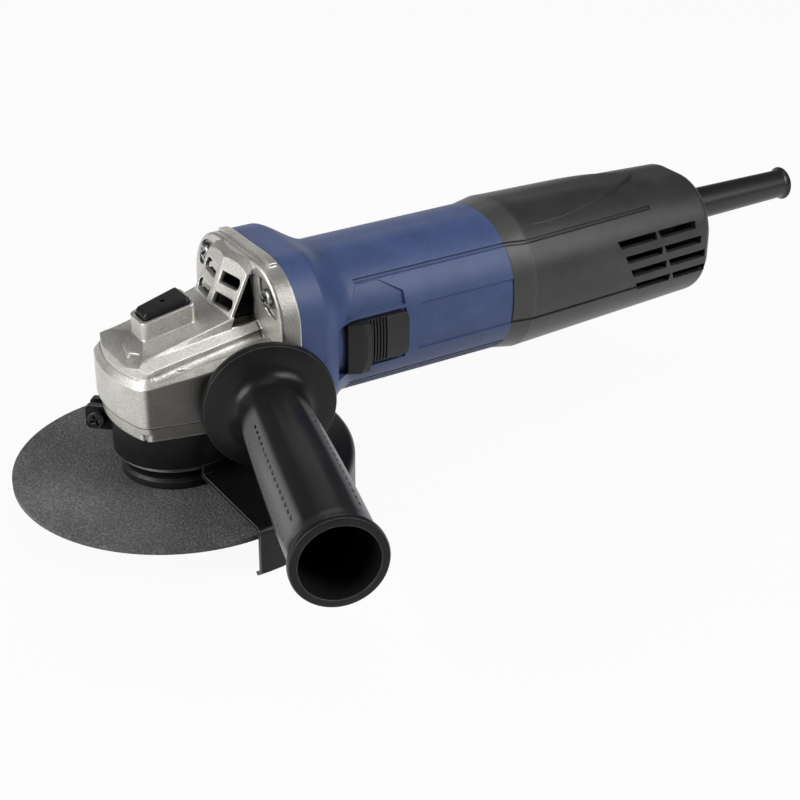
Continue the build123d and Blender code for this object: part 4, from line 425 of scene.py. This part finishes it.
def black_grip():
    look = Look("black_grip")
    grain = look.noise(0.0005, 2, 0.6)
    cloud = look.noise(0.018, 3)
    along, radius = look.axis(HANDLE_ORIGIN, HANDLE_OUT)
    # Painted shade: the inside of the bore is painted almost black
    hollow_shade = (along > BORE_START) * (radius < HANDLE_BORE + BORE_MARGIN)
    reach = look.vector("SUBTRACT", look.place(), HANDLE_ORIGIN)
    height = look.split(reach)[2]
    left = look.vector("DOT_PRODUCT", reach, HANDLE_OUT.cross(Vector((0, 0, 1))), "Value")
    turn = left.sum("ARCTAN2", left, height)
    lit_panel = 0.0
    for low, high in PANELS:
        rise = look.step(turn, radians(low - PANEL_OUTER), radians(low - PANEL_INNER))
        fall = look.step(turn, radians(high + PANEL_OUTER), radians(high + PANEL_INNER))
        lit_panel = lit_panel + rise * fall
    lit_panel = lit_panel * look.step(along, *PANEL_FOOT) * look.step(along, *PANEL_END)
    lit_panel = lit_panel * (radius > GRIP_NECK - GRIP_MARGIN)
    wear_and_glint = look.edges(0.0007)
    colour = look.ramp(grain * 0.5 + cloud * 0.5, (0.36, grey(0.007)), (0.66, grey(0.013)))
    # Painted light: the panels are painted paler, standing in for the light on the grip's sides and a
    # highlight
    colour = look.mix(lit_panel * 0.8, colour, (0.125, 0.125, 0.125, 1))
    # Edges lightened: partly wear, partly a painted glint
    colour = look.mix(wear_and_glint * 0.45, colour, (0.22, 0.22, 0.22, 1))
    look.set(base_color=look.mix(hollow_shade, colour, (0.0004, 0.0004, 0.0004, 1)))
    roughness = 0.30 + 0.04 * lit_panel + 0.10 * (cloud - 0.5) + 0.5 * hollow_shade
    look.set(roughness=roughness, specular_ior_level=0.2)
    look.bump(grain, 0.00005, 0.5, 0.0002)
    return look.material


def inner_plastic():
    return moulded_nylon("inner_plastic", grey(0.05), grey(0.09), 0.5).material


def sleeve_rubber():
    return moulded_nylon("sleeve_rubber", grey(0.009), grey(0.016), 0.34, 0.00004, 0.45).material


def seal_rubber():
    return moulded_nylon("seal_rubber", grey(0.012), grey(0.02), 0.6, 0.00006).material


def guard_paint():
    look = Look("guard_paint")
    peel = look.noise(0.0016, 2)
    wear_and_glint = look.edges(0.0006)
    colour = look.ramp(peel, (0.3, grey(0.004)), (0.7, grey(0.008)))
    # Edges lightened: partly wear, partly a painted glint
    look.set(base_color=look.mix(wear_and_glint * 0.6, colour, (0.30, 0.30, 0.30, 1)))
    look.set(roughness=0.30 + 0.10 * peel, specular_ior_level=0.25)
    look.bump(peel, 0.00006, 0.5, 0.0003)
    return look.material


def abrasive():
    look = Look("abrasive")
    sockets = {"Vector": look.place(), "Scale": GRIT_SCALE}
    grit = look.node("ShaderNodeTexVoronoi", None, sockets)
    tint = look.noise(0.0009, 3, 0.75)
    cloud = look.noise(0.02, 3)
    tone = tint * 0.7 + grit * 0.25 + cloud * 0.2
    colour = look.ramp(tone, (0.34, grey(0.036)), (0.56, grey(0.096)), (0.8, grey(0.22)))
    look.set(base_color=colour)
    look.set(roughness=0.66 + 0.2 * (tint - 0.5), specular_ior_level=0.3)
    look.bump(tint + grit * 0.6, 0.0004, 0.8)
    return look.material


def copper_wire():
    look = Look("copper_wire")
    strand = look.noise(0.0008, 2)
    colour = look.ramp(strand, (0.3, (0.38, 0.13, 0.05)), (0.7, (0.66, 0.27, 0.12)))
    look.set(base_color=colour, metallic=0.9)
    look.set(roughness=0.3 + 0.2 * strand)
    look.bump(strand, 0.0002, 0.6)
    return look.material


def lamination():
    look = Look("lamination")
    sockets = {"Vector": look.place(), "Scale": SHEET_SCALE}
    sheets = look.node("ShaderNodeTexWave", {"bands_direction": "X"}, sockets, "Fac")
    look.set(base_color=look.ramp(sheets, (0.2, grey(0.10)), (0.8, grey(0.24))), metallic=0.9)
    look.set(roughness=0.4 + 0.15 * sheets)
    look.bump(sheets, 0.0001, 0.5)
    return look.material


def brass():
    look = Look("brass")
    smear = look.noise(0.003, 3)
    colour = look.ramp(smear, (0.3, (0.58, 0.40, 0.14)), (0.7, (0.78, 0.58, 0.26)))
    look.set(base_color=colour, metallic=1.0)
    look.set(roughness=0.25 + 0.2 * smear)
    return look.material


def carbon():
    return moulded_nylon("carbon", grey(0.02), grey(0.05), 0.5, 0.0002).material


FINISHES = {
    "cast_aluminium": cast_aluminium,
    "bright_steel": plated_steel,
    "machined_steel": ground_steel,
    "dark_steel": black_steel,
    "blue_plastic": blue_nylon,
    "black_plastic": cover_nylon,
    "grip_plastic": black_grip,
    "switch_plastic": slider_plastic,
    "inner_plastic": inner_plastic,
    "sleeve_rubber": sleeve_rubber,
    "seal_rubber": seal_rubber,
    "guard_paint": guard_paint,
    "abrasive": abrasive,
    "lamination": lamination,
    "copper": copper_wire,
    "brass": brass,
    "carbon": carbon,
}


def dress(piece, material):
    piece.data.materials.clear()
    piece.data.materials.append(material)


def dress_nodes():
    made = {slot: finish() for slot, finish in FINISHES.items()}
    for part in frame["record"]["subparts"]:
        dress(nodes[part["node"]], made[part["material_slot"]])
    dress(nodes["lock_button"], button_plastic())
    return made


# New pieces
TINY = 1e-6
SMOOTH_ANGLE = radians(32)

# The grip, in metres along and from its axis
HANDLE_LENGTH = 0.1107
RIM_RADIUS = 0.025
RIM_HEIGHT = 0.0046
DISH_SWEEP = 0.0065
DISH_RISE = 0.0012
GRIP_MIDDLE = 0.0146
GRIP_END = 0.0152
LIP_RADIUS = 0.0167
LIP_LENGTH = 0.005
BORE_DRAFT = 0.0016
BORE_DEPTH = 0.070
STUD_HOLE = 0.004
HANDLE_STEPS = 72
DIMPLE_START = 0.0305
DIMPLE_PITCH = 0.0042
DIMPLE_LENGTH = 0.0028
DIMPLES = 16
DIMPLE_DEPTH = 0.0008
DIMPLE_EDGE = 0.0003
DISH_STEPS = 8
ROUND = 0.001
CORNER = 0.0003
LIP_SHOULDER = (0.0004, 0.0007)
BORE_ROUND = 0.0006
NECK_STOPS = (0.0145, 0.017, 0.0195, 0.0235, 0.027)
END_STOP = 0.1015


def finish_piece(name, shape, body, material):
    """Turns a bmesh into a dressed piece that rides on a body."""
    bmesh.ops.remove_doubles(shape, verts=shape.verts, dist=TINY)
    bmesh.ops.recalc_face_normals(shape, faces=shape.faces)
    for face in shape.faces:
        face.smooth = True
    for edge in shape.edges:
        edge.smooth = edge.calc_face_angle(0) < SMOOTH_ANGLE
    mesh = bpy.data.meshes.new(name)
    shape.to_mesh(mesh)
    shape.free()
    piece = bpy.data.objects.new(name, mesh)
    scene.collection.objects.link(piece)
    dress(piece, material)
    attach(piece, body)
    return piece


def grip_radius(along):
    """The grip's radius: a smooth swell through its neck, its middle and its end."""
    low = RIM_HEIGHT + DISH_RISE + DISH_SWEEP
    high = HANDLE_LENGTH - LIP_LENGTH
    middle = HANDLE_LENGTH / 2
    spots = ((low, GRIP_NECK), (middle, GRIP_MIDDLE), (high, GRIP_END))
    total = 0.0
    for here, radius in spots:
        share = radius
        for other, _ in spots:
            if other != here:
                share *= (along - other) / (here - other)
        total += share
    return total


def grip_profile():
    """The handle's section as radius and height, from the stud's hole round to the bore."""
    end = HANDLE_LENGTH
    spots = [(STUD_HOLE, 0), (RIM_RADIUS - ROUND, 0)]
    spots += [(RIM_RADIUS - CORNER, CORNER), (RIM_RADIUS, ROUND), (RIM_RADIUS, RIM_HEIGHT - ROUND)]
    spots += [(RIM_RADIUS - CORNER, RIM_HEIGHT - CORNER), (RIM_RADIUS - ROUND, RIM_HEIGHT)]
    middle = (GRIP_NECK + DISH_SWEEP, RIM_HEIGHT + DISH_RISE + DISH_SWEEP)
    for i in range(DISH_STEPS + 1):
        turn = radians(90 * i / DISH_STEPS)
        spots.append((middle[0] - DISH_SWEEP * sin(turn), middle[1] - DISH_SWEEP * cos(turn)))
    stops = list(NECK_STOPS)
    for i in range(DIMPLES):
        start = DIMPLE_START + i * DIMPLE_PITCH
        stops += [start, start + DIMPLE_LENGTH]
    stops += [END_STOP, end - LIP_LENGTH]
    spots += [(grip_radius(along), along) for along in stops]
    lip = end - LIP_LENGTH / 2
    spots += [(LIP_RADIUS - LIP_SHOULDER[0], lip - LIP_SHOULDER[1]), (LIP_RADIUS, lip)]
    spots += [(LIP_RADIUS, end - ROUND), (LIP_RADIUS - CORNER, end - CORNER), (LIP_RADIUS - ROUND, end)]
    spots += [(HANDLE_BORE + CORNER, end), (HANDLE_BORE, end - BORE_ROUND)]
    deep = end - BORE_DEPTH
    return spots + [(HANDLE_BORE - BORE_DRAFT, deep), (STUD_HOLE, deep)]


def is_dimple(face):
    """Whether a face of the grip lies on one of the four rows of dimples."""
    x, y, along = face.calc_center_median()
    past = (along - DIMPLE_START) / DIMPLE_PITCH
    if not 0 < past < DIMPLES or past % 1 > DIMPLE_LENGTH / DIMPLE_PITCH:
        return False
    if hypot(x, y) < GRIP_NECK - GRIP_MARGIN:
        return False
    turn = degrees(atan2(y, x))
    return any(abs(turn - row) < 180 / HANDLE_STEPS for lit_panel in PANELS for row in lit_panel)


def make_grip(material):
    """The handle's moulded grip, turned about its axis, with rows of dimples pressed in."""
    shape = bmesh.new()
    verts = [shape.verts.new((radius, 0, along)) for radius, along in grip_profile()]
    edges = [shape.edges.new(pair) for pair in zip(verts, verts[1:] + verts[:1])]
    bmesh.ops.spin(
        shape,
        geom=verts + edges,
        axis=(0, 0, 1),
        cent=(0, 0, 0),
        angle=2 * pi,
        steps=HANDLE_STEPS,
        use_merge=True,
    )
    bmesh.ops.remove_doubles(shape, verts=shape.verts, dist=TINY)
    bmesh.ops.recalc_face_normals(shape, faces=shape.faces)
    dents = [face for face in shape.faces if is_dimple(face)]
    bmesh.ops.inset_individual(
        shape, faces=dents, thickness=DIMPLE_EDGE, depth=-DIMPLE_DEPTH, use_even_offset=True
    )
    up = Vector((0, 0, 1))
    turn = Matrix((up, HANDLE_OUT.cross(up), HANDLE_OUT)).transposed().to_4x4()
    bmesh.ops.transform(shape, matrix=Matrix.Translation(HANDLE_ORIGIN) @ turn, verts=shape.verts)
    grip = finish_piece("grip", shape, "housing", material)
    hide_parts("side_handle")


# The screws' heads and shanks, and the cross recess cut into a head
RECESS_DEPTH = 0.0014
RECESS_WIDTH = 0.0011
RECESS_REACH = 0.92
RECESS_TAPER = 0.0001
HEAD_SIDES = 32
HEAD_STEPS = 5
SHANK_SIDES = 16
HOUSING_SCREW = {"radius": 0.0038, "height": 0.0028, "edge": 0.0013, "shank": 0.0022, "length": 0.0188}
CLAMP_SCREW = {"radius": 0.0036, "height": 0.0028, "edge": 0.0009, "shank": 0.0020, "length": 0.0126}


def cross_screw(shape, place, radius, height, edge, shank, length):
    """A round-headed screw with a cross recess, standing on its seat and pointing along +Z."""
    screw = bmesh.new()
    bmesh.ops.create_circle(screw, cap_ends=True, segments=HEAD_SIDES, radius=radius)
    lifted = bmesh.ops.extrude_face_region(screw, geom=list(screw.faces))["geom"]
    top = [item for item in lifted if isinstance(item, bmesh.types.BMVert)]
    bmesh.ops.translate(screw, vec=(0, 0, height), verts=top)
    rim = [e for e in screw.edges if all(v.co.z > height / 2 for v in e.verts)]
    bmesh.ops.bevel(
        screw, geom=rim, offset=edge, segments=HEAD_STEPS, profile=0.5, affect="EDGES", material=-1
    )
    reach = (radius - edge) * RECESS_REACH
    for axis in ((1, 0, 0), (0, 1, 0)):
        for offset in (-reach, -RECESS_WIDTH / 2, RECESS_WIDTH / 2, reach):
            cap = [f for f in screw.faces if f.calc_center_median().z > height - TINY]
            parts = set(cap) | {e for f in cap for e in f.edges} | {v for f in cap for v in f.verts}
            point = Vector(axis) * offset
            bmesh.ops.bisect_plane(screw, geom=list(parts), plane_co=point, plane_no=axis)
    cross = []
    for face in screw.faces:
        x, y, z = face.calc_center_median()
        near, far = sorted((abs(x), abs(y)))
        if z > height - TINY and near < RECESS_WIDTH / 2 and far < reach:
            cross.append(face)
    bmesh.ops.inset_region(screw, faces=cross, thickness=RECESS_TAPER, depth=-RECESS_DEPTH)
    stem = Matrix.Translation((0, 0, -length / 2))
    bmesh.ops.create_cone(
        screw,
        cap_ends=True,
        segments=SHANK_SIDES,
        radius1=shank,
        radius2=shank,
        depth=length,
        matrix=stem,
    )
    bmesh.ops.transform(screw, matrix=place, verts=screw.verts)
    mesh = bpy.data.meshes.new("screw")
    screw.to_mesh(mesh)
    screw.free()
    shape.from_mesh(mesh)
    bpy.data.meshes.remove(mesh)


def facing(place, out, turn):
    """A place with its own Z along a direction, turned about it."""
    aim = Vector(out).to_track_quat("Z", "Y").to_matrix().to_4x4()
    return Matrix.Translation(place) @ aim @ Matrix.Rotation(turn, 4, "Z")


# Where the screws sit: four round the motor's axis, and one on the guard's clamp
MOTOR_HEIGHT = 0.0554
HOUSING_SCREW_OFFSET = 0.025
HOUSING_SCREW_SEAT = 0.0302
CLAMP_TURN = radians(138.0)
CLAMP_SEAT = Vector((0.02875, 0.0042, 0.027))
RECESS_TURN = 20
RECESS_STEP = 35
CLAMP_RECESS_TURN = 25


def make_screws(made):
    """The housing's four screws, and the screw of the guard's clamp."""
    shape = bmesh.new()
    spots = [(side, rise) for side in (-1, 1) for rise in (-1, 1)]
    for index, (side, rise) in enumerate(spots):
        height = MOTOR_HEIGHT + rise * HOUSING_SCREW_OFFSET
        spot = (HOUSING_SCREW_SEAT, side * HOUSING_SCREW_OFFSET, height)
        place = facing(spot, (-1, 0, 0), radians(RECESS_TURN + RECESS_STEP * index))
        cross_screw(shape, place, **HOUSING_SCREW)
    screws = finish_piece("cross_screws", shape, "housing", made["bright_steel"])
    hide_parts("gear_housing_screws")
    shape = bmesh.new()
    turn = Matrix.Rotation(CLAMP_TURN, 4, "Z")
    place = turn @ facing(CLAMP_SEAT, (0, 1, 0), radians(CLAMP_RECESS_TURN))
    cross_screw(shape, place, **CLAMP_SCREW)
    screw = finish_piece("clamp_cross_screw", shape, "guard", made["dark_steel"])
    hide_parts("guard_clamp_screw")


# The lock spring: where its axis lies, its wire's and its coil's radii, its turns, the steps in each
# turn and the sides of its wire
LOCK_AXIS = -0.0084
LOCK_WIRE = 0.0003
LOCK_COIL = 0.0024
LOCK_TURNS = 3
LOCK_STEPS = 24
WIRE_SIDES = 10


def make_lock_coil(material):
    """The spring under the lock button, a coil of wire as tall as the CAD spring it replaces."""
    low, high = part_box("lock_spring")
    start = Vector((LOCK_AXIS + LOCK_COIL, 0, low[2] + LOCK_WIRE))
    steps = LOCK_TURNS * LOCK_STEPS
    climb = (high[2] - low[2] - 2 * LOCK_WIRE) / steps
    shape = bmesh.new()
    upright = Matrix.Translation(start) @ Matrix.Rotation(pi / 2, 4, "X")
    bmesh.ops.create_circle(shape, segments=WIRE_SIDES, radius=LOCK_WIRE, matrix=upright)
    ring = list(shape.verts) + list(shape.edges)
    bmesh.ops.spin(
        shape,
        geom=ring,
        cent=(LOCK_AXIS, 0, 0),
        axis=(0, 0, 1),
        dvec=(0, 0, climb),
        angle=2 * pi * LOCK_TURNS,
        steps=steps,
    )
    bmesh.ops.holes_fill(shape, edges=[edge for edge in shape.edges if edge.is_boundary])
    coil = finish_piece("lock_coil", shape, "housing", material)
    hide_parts("lock_spring")
    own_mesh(coil)


# The raised arrow on the housing's brow: its tip, its near barb, its notch and its front barb
ARROW_POINTS = (
    (-0.01792, 0.00199, 0.06279),
    (-0.01671, -0.01168, 0.06351),
    (-0.01852, -0.00706, 0.06241),
    (-0.02017, -0.00792, 0.06123),
)
ARROW_OUT = Vector((-0.53, 0, 0.848))
ARROW_SINK = 0.0004
ARROW_RISE = 0.00035
ARROW_EDGE = 0.00015
ARROW_STEPS = 2


def make_arrow(material):
    """The direction arrow, sunk a little into the brow so that no gap shows under it."""
    shape = bmesh.new()
    verts = [shape.verts.new(Vector(spot) - ARROW_OUT * ARROW_SINK) for spot in ARROW_POINTS]
    face = shape.faces.new(verts)
    lifted = bmesh.ops.extrude_face_region(shape, geom=[face])["geom"]
    top = [item for item in lifted if isinstance(item, bmesh.types.BMVert)]
    bmesh.ops.translate(shape, vec=ARROW_OUT * (ARROW_SINK + ARROW_RISE), verts=top)
    rim = [edge for edge in shape.edges if all(vert in top for vert in edge.verts)]
    bmesh.ops.bevel(
        shape,
        geom=rim,
        offset=ARROW_EDGE,
        segments=ARROW_STEPS,
        profile=0.5,
        affect="EDGES",
        material=-1,
    )
    finish_piece("direction_arrow", shape, "housing", material)


# Stage
FLOOR_SIZE = 40.0
FLOOR_GAP = 0.0002
FLOOR_WHITE = 0.94
CEILING_LIGHT = 0.06
WALL_LIGHT = 0.22
WALL_HEIGHT = 0.50
WALL_FOOT = 0.02
WALL_EVEN = 0.6
WALL_BRIGHT = 0.4
BRIGHT_SIDE = (-0.6, 0.8, 0.0)

# Each lamp's place, size and power, and the point they all face
LAMP_AIM = Vector((0.08, 0, 0.04))
LAMPS = {
    "key": ((-1.25, 0.10, 0.70), 0.8, 19.0),
    "top": ((0.05, 0.05, 1.40), 1.0, 2.5),
    "near": ((0.50, -0.70, 1.00), 0.5, 6.5),
    "side": ((0.80, -1.00, 0.75), 0.6, 6.5),
    "rim": ((0.55, 1.10, 0.50), 0.6, 0.9),
}


def lay_floor():
    """A pale floor that looks white to the camera and still takes the object's shadow."""
    mesh = bpy.data.meshes.new("floor")
    shape = bmesh.new()
    bmesh.ops.create_grid(shape, x_segments=1, y_segments=1, size=FLOOR_SIZE)
    shape.to_mesh(mesh)
    shape.free()
    floor = bpy.data.objects.new("floor", mesh)
    floor.location.z = cad_box[0].z - FLOOR_GAP
    scene.collection.objects.link(floor)
    look = Look("floor")
    haze = look.noise(0.4, 2)
    look.set(base_color=look.ramp(haze, (0.3, grey(0.56)), (0.7, grey(0.60))), roughness=0.9)
    path = look.node("ShaderNodeLightPath", output="Is Camera Ray")
    path = path + look.node("ShaderNodeLightPath", output="Is Glossy Ray")
    path = path + look.node("ShaderNodeLightPath", output="Is Transmission Ray")
    white = look.node("ShaderNodeEmission", None, {"Color": (1, 1, 1, 1), "Strength": 1.0})
    lit = Value(look, look.shader.outputs[0])
    mixed = look.node("ShaderNodeMixShader", None, {0: path * FLOOR_WHITE, 1: lit, 2: white})
    look.tree.links.new(mixed.socket, look.tree.nodes["Material Output"].inputs[0])
    dress(floor, look.material)


def light_world():
    """A studio whose pale walls are brightest at the left and behind, under a dimmer ceiling."""
    world = bpy.data.worlds.new("studio")
    world.use_nodes = True
    scene.world = world
    web = Web(world.node_tree)
    toward = web.node("ShaderNodeTexCoord", output="Generated")
    height = web.split(toward)[2]
    wall = web.step(abs(height), WALL_HEIGHT, WALL_FOOT)
    side = web.vector("DOT_PRODUCT", toward, BRIGHT_SIDE, "Value")
    strength = CEILING_LIGHT + WALL_LIGHT * wall * (WALL_EVEN + WALL_BRIGHT * side)
    sky = web.tree.nodes["Background"]
    web.feed(sky.inputs["Color"], (1, 1, 1, 1))
    web.feed(sky.inputs["Strength"], strength)


def hang_lamps():
    for name, (place, size, power) in LAMPS.items():
        data = bpy.data.lights.new(name, "AREA")
        data.size = size
        data.energy = power
        lamp = bpy.data.objects.new(name, data)
        lamp.location = place
        lamp.rotation_euler = (LAMP_AIM - Vector(place)).to_track_quat("-Z", "Y").to_euler()
        scene.collection.objects.link(lamp)


place_camera()
light_world()
hang_lamps()
lay_floor()
finishes = dress_nodes()
make_grip(finishes["grip_plastic"])
make_screws(finishes)
make_lock_coil(finishes["machined_steel"])
make_arrow(finishes["cast_aluminium"])
